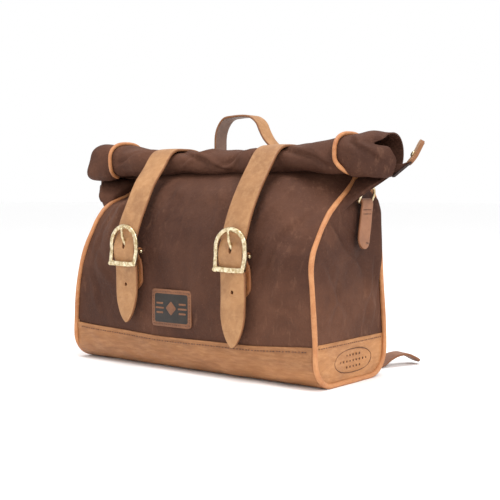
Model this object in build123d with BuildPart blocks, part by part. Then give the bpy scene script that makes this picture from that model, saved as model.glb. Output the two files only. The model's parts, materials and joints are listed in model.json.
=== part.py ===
from build123d import *
import os
from math import atan, cos, radians, sin, tan

# A roll-top motorcycle saddlebag: a canvas body on a leather base, closed by two buckled straps.
# X runs along the bag, the front faces -Y, +Z is up, and the origin is the middle of the underside.

os.makedirs("parts", exist_ok=True)

# ---- driving dimensions, millimetres ----
bag_width = 400.0        # across the end seams at the base
bag_depth = 150.0
base_height = 52.0       # top edge of the leather base
base_radius = 32.0       # rounding between the underside and the front and rear
canvas = 2.0
leather = 3.0
seam_lean = 0.071        # how far the end seams lean in, per millimetre of height

# The body, level by level: height, y of the front seam, y of the front between the straps, y of the
# rear, and how far the ends bulge past the seams. The front puffs up between its seams, and at the
# mouth the ends are pressed flat and stand out past the seams as ears.
shoulder_height = 240.0
mouth_height = 252.0
body_profile = [
    (base_height, -75.0, -75.0, 75.0, 0.0),
    (150.0, -75.0, -75.0, 75.0, 10.0),
    (178.0, -58.0, -69.0, 75.0, 10.0),
    (200.0, -38.0, -60.0, 75.0, 10.0),
    (216.0, -16.0, -48.0, 75.0, 10.0),
    (230.0, 6.0, -32.0, 62.75, 13.0),
    (shoulder_height, 18.0, -14.0, 54.0, 24.0),
    (mouth_height, 23.0, 22.0, 34.0, 74.0),
]
puff_start = 45.0        # how far in from the seams the front reaches its full depth
mouth_y = 28.0
roll_y = 10.0
bulge_front = -12.0      # the bulge of an end is flat between these two
bulge_rear = 42.0
bulge_margin = 5.0

# the roll: station along X, height of its centre, half its height
roll_depth = 36.0        # half of its front-to-back size
roll_end = 238.0
roll_stations = [(115.0, 267.0, 19.0), (188.0, 273.5, 24.5), (roll_end, 278.0, 28.0)]

piping_radius = 3.2

# closing straps and their buckles
strap_x = 90.0
strap_width = 38.0
strap_thickness = 3.5
strap_y = -87.95         # centre of the strap where it hangs in front of the bag
hole_pitch = 25.0
buckle_bar_z = 152.0
buckle_bar_offset = 5.6  # centre of the buckle bar, out from the front panel
buckle_bar_radius = 2.0
buckle_plane_y = -94.2
buckle_width = 50.0
buckle_band = 5.0        # width and thickness of the cast horseshoe
prong_slot = 6.4

# carry handle
handle_y = 66.0
handle_half_span = 58.0
handle_top = 334.0
handle_width = 25.0
handle_foot_z = 244.0

# D-rings on the ends
ring_y = 26.0
ring_bar_z = 216.0
ring_wire = 1.6
ring_half_width = 14.6
ring_lean = 25.0
ring_tab_width = 25.0
ring_tab_drop = 56.0

# mounting straps at the rear
mount_x = 150.0
mount_width = 25.0
mount_root_z = 66.0
mount_top_z = 165.0
mount_bar_z = 203.0
mount_bar_offset = 4.9
mount_wire = 1.9
tail_turn = 24.0         # how far the loose tail points away from the rear panel's normal


def finish(piece, name):
    """Label a finished piece and write it out."""
    piece.part.label = name
    export_step(piece.part, f"parts/{name}.step")


def finish_pair(piece, name):
    """Write a right-hand piece and its mirrored left-hand twin."""
    finish(piece, f"{name}_right")
    with BuildPart() as twin:
        mirror(piece.part, about=Plane.YZ)
    finish(twin, f"{name}_left")


def corner_radii(points, share=0.4):
    """The radius of each corner of a path, as large as its two runs allow."""
    corners = [Vector(*point) for point in points]
    radii = []
    for before, corner, after in zip(corners, corners[1:], corners[2:]):
        turn = radians((corner - before).get_angle(after - corner))
        run = min((corner - before).length, (after - corner).length)
        radii.append(share * run / tan(turn / 2))
    return radii


def ribbon(plane, points, thickness, width, radii=None):
    """A flat strap: its side view drawn as a line, thickened, then given its width."""
    with BuildPart() as strap:
        with BuildSketch(plane):
            with BuildLine():
                FilletPolyline(*points, radius=radii or corner_radii(points))
            trace(line_width=thickness)
        extrude(amount=width / 2, both=True)
    return strap.part


def seam_x(height):
    """Half the distance between the end seams at a height."""
    return bag_width / 2 - seam_lean * max(0.0, height - base_height)


def body_volume(inset, top=mouth_height):
    """The closed body above the base, drawn in by inset, up to a height of the profile."""
    with BuildPart() as volume:
        for height, seam, front, rear, bulge in body_profile:
            if height > top:
                break
            half = seam_x(height) - inset
            puffed = half - puff_start
            tip = half + bulge
            near = max(bulge_front, seam + bulge_margin)
            far = min(bulge_rear, rear - bulge_margin)
            right_side = [
                (puffed, front + inset), (half, seam + inset),
                (tip, near), (tip, far), (half, rear - inset),
            ]
            left_side = [(-x, y) for x, y in reversed(right_side)]
            with BuildSketch(Plane.XY.offset(height)):
                with BuildLine():
                    Polyline(*right_side, *left_side, close=True)
                make_face()
        loft(ruled=True)
    return volume.part


def base_volume(inset, floor, near, far):
    """The part of the body inside the leather base, between two stations along X."""
    with BuildPart() as volume:
        with BuildSketch(Plane.YZ.offset(near)) as outline:
            half = bag_depth / 2 - inset
            with BuildLine():
                Polyline(
                    (-half, floor), (half, floor), (half, base_height), (-half, base_height), close=True,
                )
            make_face()
            lower = outline.vertices().group_by(Axis.Y)[0]
            fillet(lower, radius=base_radius - inset)
        extrude(amount=far - near)
    return volume.part


def folded_tab(plane, bar_offset, hole_radius, layer, drop, width, slot=0.0):
    """A leather tab folded round a bar. The plane's origin is on the panel at the bar's height:
    its x points out of the panel, and the tab hangs down its -y."""
    outer = hole_radius + layer
    back = bar_offset - outer
    doubled = back + 2 * layer
    with BuildPart() as tab:
        with BuildSketch(plane):
            with Locations((bar_offset, 0)):
                Circle(outer)
            with BuildLine():
                Polyline(
                    (back, 0), (back, -drop), (doubled, -drop), (doubled, -3 * outer),
                    (bar_offset + outer * cos(radians(20)), -outer * sin(radians(20))),
                    (bar_offset, 0), close=True,
                )
            make_face()
            with Locations((bar_offset, 0)):
                Circle(hole_radius, mode=Mode.SUBTRACT)
        extrude(amount=width / 2, both=True)
        # the sewn end is round: seen from outside, the tab is a strap with a half-round end
        facing = Plane(origin=plane.origin, x_dir=plane.z_dir, z_dir=plane.x_dir)
        with BuildSketch(facing):
            with Locations((0, (drop - outer) / 2)):
                Rectangle(width, drop + outer)
            with Locations((0, drop)):
                Rectangle(2 * width, width, mode=Mode.SUBTRACT)
            with Locations((0, drop - width / 2)):
                Circle(width / 2)
        extrude(amount=4 * outer, both=True, mode=Mode.INTERSECT)
        if slot:
            with BuildSketch(facing):
                Rectangle(slot, 2 * outer + 0.4)
            extrude(amount=4 * outer, both=True, mode=Mode.SUBTRACT)
    return tab.part


# ---- canvas body ----

with BuildPart() as body_shell:
    add(body_volume(0))
    add(body_volume(canvas), mode=Mode.SUBTRACT)

with BuildPart() as between_seams:
    for height in (base_height, mouth_height):
        with BuildSketch(Plane.XY.offset(height)):
            Rectangle(2 * (seam_x(height) - canvas), 2 * bag_depth)
    loft(ruled=True)

mouth_plane = Plane.XZ.offset(-mouth_y)

with BuildPart() as front_panel:
    add(body_shell.part)
    add(between_seams.part, mode=Mode.INTERSECT)
    split(bisect_by=mouth_plane, keep=Keep.TOP)
finish(front_panel, "front_panel")

with BuildPart() as rear_panel:
    add(body_shell.part)
    add(between_seams.part, mode=Mode.INTERSECT)
    split(bisect_by=mouth_plane, keep=Keep.BOTTOM)
finish(rear_panel, "rear_panel")

with BuildPart() as gusset:
    add(body_shell.part)
    add(between_seams.part, mode=Mode.SUBTRACT)
    split(bisect_by=Plane.YZ, keep=Keep.TOP)
finish_pair(gusset, "gusset")

# ---- leather base ----

wrap_end = bag_width / 2 - leather

with BuildPart() as base_panel:
    add(base_volume(0, 0, -wrap_end, wrap_end))
    add(base_volume(leather, leather, -wrap_end, wrap_end), mode=Mode.SUBTRACT)
finish(base_panel, "base_panel")

with BuildPart() as base_patch:
    add(base_volume(0, 0, wrap_end, bag_width / 2))
finish_pair(base_patch, "base_patch")

# ---- inside: base board, rear stiffener and lining ----

board_thickness = 3.0
board_z = leather + 0.2 + board_thickness / 2

with BuildPart() as base_board:
    with Locations((0, 0, board_z)):
        Box(380, 82, board_thickness)
    fillet(base_board.edges().filter_by(Axis.Z), radius=10)
finish(base_board, "base_board")

stiffener_thickness = 1.5

with BuildPart() as rear_stiffener:
    with Locations((0, bag_depth / 2 - canvas - 0.2 - stiffener_thickness / 2, 120)):
        Box(350, stiffener_thickness, 130)
    fillet(rear_stiffener.edges().filter_by(Axis.Y), radius=12)
finish(rear_stiffener, "rear_stiffener")

lining_gap = 4.6
lining_cloth = 1.0
lining_floor = 6.8

with BuildPart() as lining:
    for inset, mode in ((lining_gap, Mode.ADD), (lining_gap + lining_cloth, Mode.SUBTRACT)):
        floor = lining_floor + inset - lining_gap
        side = bag_width / 2 - inset
        add(body_volume(inset, top=shoulder_height), mode=mode)
        add(base_volume(inset, floor, -side, side), mode=mode)
finish(lining, "lining")

# ---- piping round each end panel ----

piping_x = 1.4
seam_front = [(seam_x(z) + piping_x, seam + piping_radius, z) for z, seam, *_ in body_profile[:-1]]
# the rear seam bends only at these levels
rear_levels = [level for level in body_profile if level[0] in (base_height, 216.0, shoulder_height)]
seam_rear = [(seam_x(z) + piping_x, rear - piping_radius, z) for z, _, _, rear, _ in rear_levels]
base_x = bag_width / 2 + piping_x
base_y = bag_depth / 2 - piping_radius
piping_route = [
    *reversed(seam_front),
    (base_x, -base_y, piping_radius),
    (base_x, base_y, piping_radius),
    *seam_rear,
]
piping_radii = corner_radii(piping_route, share=0.3)
lower_front = len(seam_front) - 1
piping_radii[lower_front] = piping_radii[lower_front + 1] = base_radius - piping_radius

with BuildPart() as piping:
    with BuildLine() as piping_line:
        FilletPolyline(*piping_route, radius=piping_radii)
    with BuildSketch(Plane(origin=piping_line.line @ 0, z_dir=piping_line.line % 0)):
        Circle(piping_radius)
    sweep(path=piping_line.line)
    add(body_volume(0), mode=Mode.SUBTRACT)
    add(base_volume(0, 0, wrap_end, bag_width / 2), mode=Mode.SUBTRACT)
finish_pair(piping, "piping")

# ---- the rolled top ----

with BuildPart() as roll_top:
    for side in (-1, 1):
        for x, centre_z, half_height in roll_stations[::side]:
            with BuildSketch(Plane.YZ.offset(side * x)):
                with Locations((roll_y, centre_z)):
                    Ellipse(roll_depth, half_height)
    loft(ruled=True)
    split(bisect_by=Plane.XY.offset(mouth_height), keep=Keep.TOP)
finish(roll_top, "roll_top")

welt = 4.0
welt_gap = 0.7
arc_x, arc_z, arc_half_height = roll_stations[1]

with BuildPart() as roll_piping:
    with BuildSketch(Plane.YZ.offset(arc_x)):
        with Locations((roll_y, arc_z)):
            Ellipse(roll_depth + welt_gap + welt, arc_half_height + welt_gap + welt)
            Ellipse(roll_depth + welt_gap, arc_half_height + welt_gap, mode=Mode.SUBTRACT)
    extrude(amount=piping_radius, both=True)
    split(bisect_by=Plane.XY.offset(mouth_height + welt_gap), keep=Keep.TOP)
finish_pair(roll_piping, "roll_piping")

# ---- closing straps, buckle chapes, horseshoe buckles and prongs ----

rear_strap_y = bag_depth / 2 + strap_thickness / 2
over_roll_z = 288.3
strap_bends = [22, 22, 32, 90, 60, 60]
hole_z = buckle_bar_z + 7.0
prong_hole = (12.4, 5.5)
plain_hole = (7.0, 4.5)


def closing_strap(x, tip_z):
    """A strap sewn to the rear panel, over the roll and down through the buckle."""
    route = [
        (rear_strap_y, 130), (rear_strap_y, 222), (40.5, over_roll_z), (-15.4, over_roll_z),
        (-66, 222), (-84, 182), (strap_y, 160), (strap_y, tip_z),
    ]
    with BuildPart() as strap:
        add(ribbon(Plane.YZ.offset(x), route, strap_thickness, strap_width, radii=strap_bends))
        tail_plane = Plane.XZ.offset(-strap_y)
        point = strap_width * 0.62
        with BuildSketch(tail_plane):
            with Locations((x, tip_z + point / 2)):
                Rectangle(strap_width + 2, point)
            with BuildLine():
                ThreePointArc(
                    (x - strap_width / 2, tip_z + point), (x - 11.5, tip_z + 6.5), (x, tip_z)
                )
                ThreePointArc(
                    (x, tip_z), (x + 11.5, tip_z + 6.5), (x + strap_width / 2, tip_z + point)
                )
                Line((x + strap_width / 2, tip_z + point), (x - strap_width / 2, tip_z + point))
            make_face(mode=Mode.SUBTRACT)
        extrude(amount=strap_thickness, both=True, mode=Mode.SUBTRACT)
        with BuildSketch(tail_plane):
            with Locations((x, hole_z)):
                SlotOverall(*prong_hole, rotation=90)
            with Locations(*((x, hole_z + step * hole_pitch) for step in (1, -1, -2))):
                SlotOverall(*plain_hole, rotation=90)
        extrude(amount=8 * strap_thickness, both=True, mode=Mode.SUBTRACT)
    return strap


finish(closing_strap(strap_x, 42), "closing_strap_right")
finish(closing_strap(-strap_x, 59), "closing_strap_left")

chape_plane = Plane(
    origin=(strap_x, -bag_depth / 2, buckle_bar_z), x_dir=(0, -1, 0), z_dir=(-1, 0, 0)
)
with BuildPart() as buckle_chape:
    add(folded_tab(chape_plane, buckle_bar_offset, 2.3, 2.8, 52, strap_width, slot=prong_slot))
finish_pair(buckle_chape, "buckle_chape")

bar_y = -bag_depth / 2 - buckle_bar_offset
arch_centre_z = buckle_bar_z + 10
keeper_z = buckle_bar_z - 19
buckle_half = buckle_width / 2

bar_seat_y = bar_y - 2.2

with BuildPart() as buckle_frame:
    # seen from the front it is a horseshoe closed by the keeper bar
    with BuildSketch(Plane.XZ.offset(-bar_y)):
        for half, low, mode in ((buckle_half, keeper_z, Mode.ADD),
                                (buckle_half - buckle_band, keeper_z + buckle_band, Mode.SUBTRACT)):
            with BuildLine():
                FilletPolyline(
                    (strap_x - half, arch_centre_z), (strap_x - half, low), (strap_x + half, low),
                    (strap_x + half, arch_centre_z), radius=4,
                )
                ThreePointArc(
                    (strap_x + half, arch_centre_z), (strap_x, arch_centre_z + half),
                    (strap_x - half, arch_centre_z),
                )
            make_face(mode=mode)
    extrude(amount=4 * buckle_band, both=True)
    # seen from the side it bows back round the strap's edges, down to the centre bar
    side_route = [
        (buckle_plane_y, arch_centre_z + buckle_half + 6), (buckle_plane_y, buckle_bar_z + 16),
        (bar_seat_y, buckle_bar_z + 4), (bar_seat_y, buckle_bar_z - 4),
        (buckle_plane_y, keeper_z + 6), (buckle_plane_y, keeper_z - 2),
    ]
    with BuildSketch(Plane.YZ.offset(strap_x)):
        with BuildLine():
            FilletPolyline(*side_route, radius=[12, 5, 3, 4])
        trace(line_width=buckle_band)
    extrude(amount=buckle_width, both=True, mode=Mode.INTERSECT)
    with BuildSketch(Plane.YZ.offset(strap_x)):
        with Locations((bar_y, buckle_bar_z)):
            Circle(buckle_bar_radius)
    extrude(amount=buckle_half - buckle_band / 2, both=True)
finish_pair(buckle_frame, "buckle_frame")


def prong(x, bar, ring_outer, bore, route, thickness, width):
    """A prong: a ring on the bar and a shank in the side view."""
    with BuildPart() as piece:
        add(ribbon(Plane.YZ.offset(x), route, thickness, width * 0.76))
        with BuildSketch(Plane.YZ.offset(x)):
            with Locations(bar):
                Circle(ring_outer)
        extrude(amount=width / 2, both=True)
        with BuildSketch(Plane.YZ.offset(x)):
            with Locations(bar):
                Circle(bore)
        extrude(amount=width, both=True, mode=Mode.SUBTRACT)
    return piece


prong_y = buckle_plane_y - buckle_band / 2 - 2.2
finish_pair(
    prong(
        strap_x, (bar_y, buckle_bar_z), 4.0, buckle_bar_radius + 0.05,
        [(bar_y - 2.2, buckle_bar_z + 2.3), (prong_y, 171), (prong_y, arch_centre_z + buckle_half - 1)],
        3.4, 5.0,
    ),
    "buckle_prong",
)

# ---- front patch ----

with BuildPart() as front_patch:
    with Locations((-20, -bag_depth / 2 - 1, 81)):
        Box(68, 2, 48)
    fillet(front_patch.edges().filter_by(Axis.Y), radius=5)
finish(front_patch, "front_patch")

# ---- carry handle ----

handle_route = [
    (-handle_half_span, handle_foot_z), (-handle_half_span - 2, handle_top - 1), (2, handle_top + 1),
    (30, 294), (handle_half_span + 1, 274), (handle_half_span, handle_foot_z),
]

with BuildPart() as handle:
    add(ribbon(Plane.XZ.offset(-handle_y), handle_route, leather, handle_width, radii=[24, 26, 30, 16]))
    with BuildSketch(Plane.YZ):
        with BuildLine():
            Polyline(
                (handle_y - 8, handle_foot_z - 1), (handle_y + 8, handle_foot_z - 1),
                (handle_y + handle_width / 2, 262), (handle_y + handle_width / 2, 360),
                (handle_y - handle_width / 2, 360), (handle_y - handle_width / 2, 262), close=True,
            )
        make_face()
    extrude(amount=bag_width / 2, both=True, mode=Mode.INTERSECT)
finish(handle, "handle")

# the handle's ends lie on the sloping top of the rear panel
slope_low = rear_levels[1]
slope_high = rear_levels[2]
slope_run = Vector(0, slope_high[3] - slope_low[3], slope_high[0] - slope_low[0])
slope_middle = Vector(0, (slope_low[3] + slope_high[3]) / 2, (slope_low[0] + slope_high[0]) / 2)
slope_plane = Plane(origin=slope_middle, x_dir=(1, 0, 0), z_dir=slope_run.cross(Vector(1, 0, 0)))
strip_thickness = 2.0
end_length = 34.0

with BuildPart(slope_plane) as handle_strip:
    with BuildSketch(slope_plane):
        RectangleRounded(2 * handle_half_span + 16, 22, radius=6)
    extrude(amount=strip_thickness)
finish(handle_strip, "handle_strip")

end_plane = slope_plane.offset(strip_thickness)
rivet_plane = end_plane.offset(leather)

for side, name in ((-1, "left"), (1, "right")):
    end_centre = side * (handle_half_span - end_length / 2)
    with BuildPart() as handle_end:
        with BuildSketch(end_plane):
            with Locations((end_centre, 0)):
                RectangleRounded(end_length, 20, radius=4)
        extrude(amount=leather)
    finish(handle_end, f"handle_end_{name}")
    with BuildPart() as handle_rivets:
        with BuildSketch(rivet_plane):
            with Locations((end_centre - side * 9, 0), (end_centre + side * 5, 0)):
                Circle(4)
        extrude(amount=1.4)
        heads = handle_rivets.faces().sort_by(Axis(slope_plane.origin, slope_plane.z_dir))[-2:]
        chamfer(heads.edges(), length=0.6)
    finish(handle_rivets, f"handle_rivets_{name}")

# ---- D-rings and their tabs on the ends ----

lean = atan(seam_lean)
ring_root_x = seam_x(ring_bar_z) + slope_low[4]
ring_plane = Plane(
    origin=(ring_root_x, ring_y, ring_bar_z), x_dir=(cos(lean), 0, sin(lean)), z_dir=(0, -1, 0)
)
ring_hole = ring_wire + 0.3
ring_offset = ring_hole + 2.6 + 0.3

with BuildPart() as ring_tab:
    add(folded_tab(ring_plane, ring_offset, ring_hole, 2.6, ring_tab_drop, ring_tab_width))
finish_pair(ring_tab, "ring_tab")

ring_centre = ring_plane.from_local_coords(Vector(ring_offset, 0, 0))
tilt = radians(ring_lean)
standing_plane = Plane(origin=ring_centre, x_dir=(0, 1, 0), z_dir=(cos(tilt), 0, -sin(tilt)))


def wire_loop(plane, corners, radii, wire):
    """A closed loop of round wire on a plane."""
    with BuildPart() as loop:
        with BuildLine(plane) as centre_line:
            FilletPolyline(*corners, radius=radii, close=True)
        start = centre_line.line @ 0
        with BuildSketch(Plane(origin=start, z_dir=centre_line.line % 0)):
            Circle(wire)
        sweep(path=centre_line.line)
    return loop


ring_height = 20.0
finish_pair(
    wire_loop(
        standing_plane,
        [(0, 0), (ring_half_width, 0), (ring_half_width, ring_height), (-ring_half_width, ring_height),
         (-ring_half_width, 0)],
        [0, 3, 14, 14, 3], ring_wire,
    ),
    "d_ring",
)

# ---- mounting straps at the rear, with their own chapes, buckles and prongs ----

turn = radians(tail_turn)
outward = Vector(sin(turn), cos(turn), 0)
tail_plane = Plane(
    origin=(mount_x, bag_depth / 2 + leather / 2, 0), x_dir=outward, z_dir=outward.cross(Vector(0, 0, 1))
)
twist_z = 30.0
twist_out = 8.0
tail_route = [
    (twist_out, twist_z), (twist_out + 1, leather / 2), (46, leather / 2), (70, 15.5), (92, 14), (108, 3),
]

with BuildPart() as mounting_strap:
    with Locations((mount_x, bag_depth / 2 + leather / 2, (mount_root_z + mount_top_z) / 2)):
        Box(mount_width, leather, mount_top_z - mount_root_z)
    fillet(mounting_strap.edges().filter_by(Axis.Y).group_by(Axis.Z)[-1], radius=8)
    with BuildSketch(Plane.XY.offset(mount_root_z)):
        with Locations((mount_x, bag_depth / 2 + leather / 2)):
            Rectangle(mount_width, leather)
    with BuildSketch(Plane(origin=tail_plane.from_local_coords(Vector(twist_out, twist_z, 0)),
                           x_dir=tail_plane.z_dir, z_dir=(0, 0, 1))):
        Rectangle(mount_width, leather)
    loft(ruled=True)
    add(ribbon(tail_plane, tail_route, leather, mount_width, radii=[12, 22, 12, 14]))
finish_pair(mounting_strap, "mounting_strap")

mount_plane = Plane(origin=(mount_x, bag_depth / 2, mount_bar_z), x_dir=(0, 1, 0), z_dir=(-1, 0, 0))

with BuildPart() as mounting_chape:
    add(folded_tab(mount_plane, mount_bar_offset, 2.2, 2.4, 24, mount_width, slot=5.4))
finish_pair(mounting_chape, "mounting_chape")

mount_bar_y = bag_depth / 2 + mount_bar_offset
hanging_plane = Plane(origin=(mount_x, mount_bar_y, mount_bar_z), x_dir=(1, 0, 0), z_dir=(0, 1, 0))
mount_half = 15.5
mount_drop = 27.0
finish_pair(
    wire_loop(
        hanging_plane,
        [(0, 0), (mount_half, 0), (mount_half, mount_drop), (-mount_half, mount_drop), (-mount_half, 0)],
        [0, 4, 5, 5, 4], mount_wire,
    ),
    "mounting_buckle",
)

mount_prong_y = mount_bar_y + mount_wire + 1.5
finish_pair(
    prong(
        mount_x, (mount_bar_y, mount_bar_z), 3.6, mount_wire + 0.05,
        [(mount_bar_y + 1, mount_bar_z - 2.6), (mount_prong_y, mount_bar_z - 9),
         (mount_prong_y, mount_bar_z - mount_drop - 3)],
        2.4, 4.2,
    ),
    "mounting_prong",
)

# ---- webbing, tab and rivet at the tip of each ear ----

tip_base = Vector(261, 30, 262)
across = Vector(-0.62, 0.78, 0).normalized()
sideways = Vector(0.78, 0.62, 0).normalized()
webbing_lean = radians(55)
tab_lean = radians(30)
tab_length = 31.0
tab_thickness = 5.0


def leaning_plane(lean_angle):
    """A plane at the ear's tip: its x runs across the strip, and its y leans outward by the angle."""
    along = sideways * sin(lean_angle) + Vector(0, 0, 1) * cos(lean_angle)
    return Plane(origin=tip_base, x_dir=across, z_dir=across.cross(along))


with BuildPart() as roll_webbing:
    with BuildSketch(leaning_plane(webbing_lean)):
        with Locations((0, -15)):
            Rectangle(20, 22)
    extrude(amount=1, both=True)
    add(body_volume(0), mode=Mode.SUBTRACT)
finish_pair(roll_webbing, "roll_webbing")

with BuildPart() as roll_tab:
    with BuildSketch(leaning_plane(tab_lean)):
        with Locations((0, tab_length / 2)):
            RectangleRounded(22, tab_length, radius=5)
    extrude(amount=tab_thickness / 2, both=True)
finish_pair(roll_tab, "roll_tab")

with BuildPart() as roll_rivet:
    for facing in (leaning_plane(tab_lean), leaning_plane(tab_lean).rotated((0, 180, 0))):
        with BuildSketch(facing.offset(tab_thickness / 2)):
            with Locations((0, 12)):
                Circle(4)
        extrude(amount=1.5)
finish_pair(roll_rivet, "roll_rivet")
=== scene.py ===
import bpy
import json
from math import cos, pi, radians, sin
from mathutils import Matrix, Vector
import numpy as np


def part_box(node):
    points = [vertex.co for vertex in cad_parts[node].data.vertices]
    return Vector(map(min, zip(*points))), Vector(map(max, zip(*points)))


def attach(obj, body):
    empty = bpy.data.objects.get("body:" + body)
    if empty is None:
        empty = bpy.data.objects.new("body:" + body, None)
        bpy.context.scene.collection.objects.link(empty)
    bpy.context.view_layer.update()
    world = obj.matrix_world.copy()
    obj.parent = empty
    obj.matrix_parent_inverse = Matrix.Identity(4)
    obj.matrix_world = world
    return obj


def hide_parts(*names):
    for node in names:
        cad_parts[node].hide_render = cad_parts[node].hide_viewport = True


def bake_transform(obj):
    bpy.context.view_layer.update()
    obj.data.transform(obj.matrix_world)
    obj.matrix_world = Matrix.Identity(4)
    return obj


# A roll-top saddlebag in waxed canvas and leather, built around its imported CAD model.
# Lengths are millimetres until a mesh is made: X runs along the bag, the front faces -Y, +Z is up.

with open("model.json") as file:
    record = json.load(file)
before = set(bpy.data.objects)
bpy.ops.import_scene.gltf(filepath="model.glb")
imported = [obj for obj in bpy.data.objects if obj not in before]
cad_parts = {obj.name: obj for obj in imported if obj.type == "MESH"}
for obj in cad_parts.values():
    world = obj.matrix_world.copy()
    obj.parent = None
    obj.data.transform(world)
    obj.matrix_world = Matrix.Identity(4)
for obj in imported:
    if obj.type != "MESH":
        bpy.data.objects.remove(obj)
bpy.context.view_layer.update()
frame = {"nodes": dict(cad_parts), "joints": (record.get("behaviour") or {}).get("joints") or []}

MM = 0.001
SIDES = (("right", 1), ("left", -1))


def box_mm(node):
    """Lowest and highest corner of a CAD node, in millimetres."""
    low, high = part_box(node)
    return np.array(low) / MM, np.array(high) / MM


def joint_mm(name):
    """Where a joint turns, in millimetres."""
    found = next(j for j in frame["joints"] if j["name"] == name)
    return np.array(found["pos_m"], float) / MM


# ---- camera, floor and light ----

def make_camera():
    """A long lens that looks at the bag's right front corner from just above its middle."""
    camera = bpy.data.cameras.new("camera")
    camera.lens = 70.8
    camera.sensor_width = 36.0
    camera.clip_start = 0.05
    holder = bpy.data.objects.new("camera", camera)
    holder.location = (0.8355, -0.988, 0.223)
    holder.rotation_euler = (radians(86.9), 0, radians(38.6))
    bpy.context.scene.collection.objects.link(holder)
    bpy.context.scene.camera = holder


def area_light(name, place, target, size, power):
    """A square soft light that shines from a place to a target, both in metres."""
    lamp = bpy.data.lights.new(name, "AREA")
    lamp.size = size
    lamp.energy = power
    holder = bpy.data.objects.new(name, lamp)
    direction = np.array(target, float) - np.array(place, float)
    holder.location = place
    holder.rotation_euler = Vector(direction.tolist()).to_track_quat("-Z", "Y").to_euler()
    bpy.context.scene.collection.objects.link(holder)


def make_surroundings():
    """A white studio: an even backdrop and floor, with three soft lights."""
    bpy.context.scene.view_settings.view_transform = "Standard"
    world = bpy.data.worlds.new("studio")
    bpy.context.scene.world = world
    world.use_nodes = True
    backdrop = world.node_tree.nodes["Background"]
    backdrop.inputs["Color"].default_value = (1.0, 1.0, 1.0, 1)
    backdrop.inputs["Strength"].default_value = 1.0
    area_light("key", (1.7, -0.6, 1.5), (0, 0, 0.15), 0.8, 21)
    area_light("fill", (-1.2, -1.8, 1.0), (0, 0, 0.15), 1.6, 5)
    area_light("top", (0.1, -0.2, 2.2), (0, 0, 0.1), 0.9, 24)
    bpy.ops.mesh.primitive_plane_add(size=60)
    floor = bpy.context.object
    floor.name = "floor"
    material = bpy.data.materials.new("floor")
    material.use_nodes = True
    shader = material.node_tree.nodes["Principled BSDF"]
    shader.inputs["Base Color"].default_value = (0.98, 0.98, 0.98, 1)
    shader.inputs["Roughness"].default_value = 0.9
    floor.data.materials.append(material)


# ---- materials ----

def linear(red, green, blue):
    """A colour given as 0 to 255 sRGB, as the shader wants it."""
    channels = np.array((red, green, blue)) / 255
    low = channels / 12.92
    high = ((channels + 0.055) / 1.055) ** 2.4
    return tuple(np.where(channels <= 0.04045, low, high)) + (1.0,)


class Recipe:
    """A procedural material, put together node by node."""

    def __init__(self, name, roughness, metallic=0.0, specular=0.5):
        self.material = bpy.data.materials.new(name)
        self.material.use_nodes = True
        self.tree = self.material.node_tree
        self.shader = self.tree.nodes["Principled BSDF"]
        self.shader.inputs["Roughness"].default_value = roughness
        self.shader.inputs["Metallic"].default_value = metallic
        self.shader.inputs["Specular IOR Level"].default_value = specular
        self.place = self.add("ShaderNodeTexCoord").outputs["Object"]
        self.flat = self.tree.nodes["Texture Coordinate"].outputs["UV"]
        self.normal = None

    def add(self, kind):
        return self.tree.nodes.new(kind)

    def link(self, output, target):
        self.tree.links.new(output, target)

    def stretched(self, scale, turn=(0, 0, 0)):
        node = self.add("ShaderNodeMapping")
        node.inputs["Scale"].default_value = scale
        node.inputs["Rotation"].default_value = turn
        self.link(self.place, node.inputs["Vector"])
        return node.outputs["Vector"]

    def noise(self, scale, detail=3.0, rough=0.5, warp=0.0, source=None):
        node = self.add("ShaderNodeTexNoise")
        node.inputs["Scale"].default_value = scale
        node.inputs["Detail"].default_value = detail
        node.inputs["Roughness"].default_value = rough
        node.inputs["Distortion"].default_value = warp
        self.link(source or self.place, node.inputs["Vector"])
        return node.outputs["Fac"]

    def cells(self, scale):
        node = self.add("ShaderNodeTexVoronoi")
        node.inputs["Scale"].default_value = scale
        self.link(self.place, node.inputs["Vector"])
        return node.outputs["Distance"]

    def waves(self, scale, direction, source=None):
        node = self.add("ShaderNodeTexWave")
        node.bands_direction = direction
        node.inputs["Scale"].default_value = scale
        self.link(source or self.place, node.inputs["Vector"])
        return node.outputs["Fac"]

    def ramp(self, value, low, high):
        """0 below low, 1 above high, smooth between."""
        node = self.add("ShaderNodeMapRange")
        node.interpolation_type = "SMOOTHSTEP"
        node.inputs["From Min"].default_value = low
        node.inputs["From Max"].default_value = high
        self.link(value, node.inputs["Value"])
        return node.outputs["Result"]

    def maths(self, operation, first, second=None):
        node = self.add("ShaderNodeMath")
        node.operation = operation
        for place, value in enumerate((first, second)):
            if isinstance(value, (int, float)):
                node.inputs[place].default_value = value
            elif value is not None:
                self.link(value, node.inputs[place])
        return node.outputs[0]

    def mix(self, share, first, second):
        node = self.add("ShaderNodeMix")
        node.data_type = "RGBA"
        self.link(share, node.inputs["Factor"])
        for name, value in (("A", first), ("B", second)):
            target = next(i for i in node.inputs if i.name == name and i.type == "RGBA")
            if isinstance(value, tuple):
                target.default_value = value
            else:
                self.link(value, target)
        return next(o for o in node.outputs if o.type == "RGBA")

    def colour(self, output):
        self.link(output, self.shader.inputs["Base Color"])

    def gloss(self, value, low, high):
        """Roughness between low and high, by a value of 0 to 1."""
        node = self.add("ShaderNodeMapRange")
        node.inputs["To Min"].default_value = low
        node.inputs["To Max"].default_value = high
        self.link(value, node.inputs["Value"])
        self.link(node.outputs["Result"], self.shader.inputs["Roughness"])

    def bump(self, height, depth_mm, strength=1.0):
        node = self.add("ShaderNodeBump")
        node.inputs["Strength"].default_value = strength
        node.inputs["Distance"].default_value = depth_mm * MM
        self.link(height, node.inputs["Height"])
        if self.normal is not None:
            self.link(self.normal, node.inputs["Normal"])
        self.normal = node.outputs["Normal"]
        self.link(self.normal, self.shader.inputs["Normal"])


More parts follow.
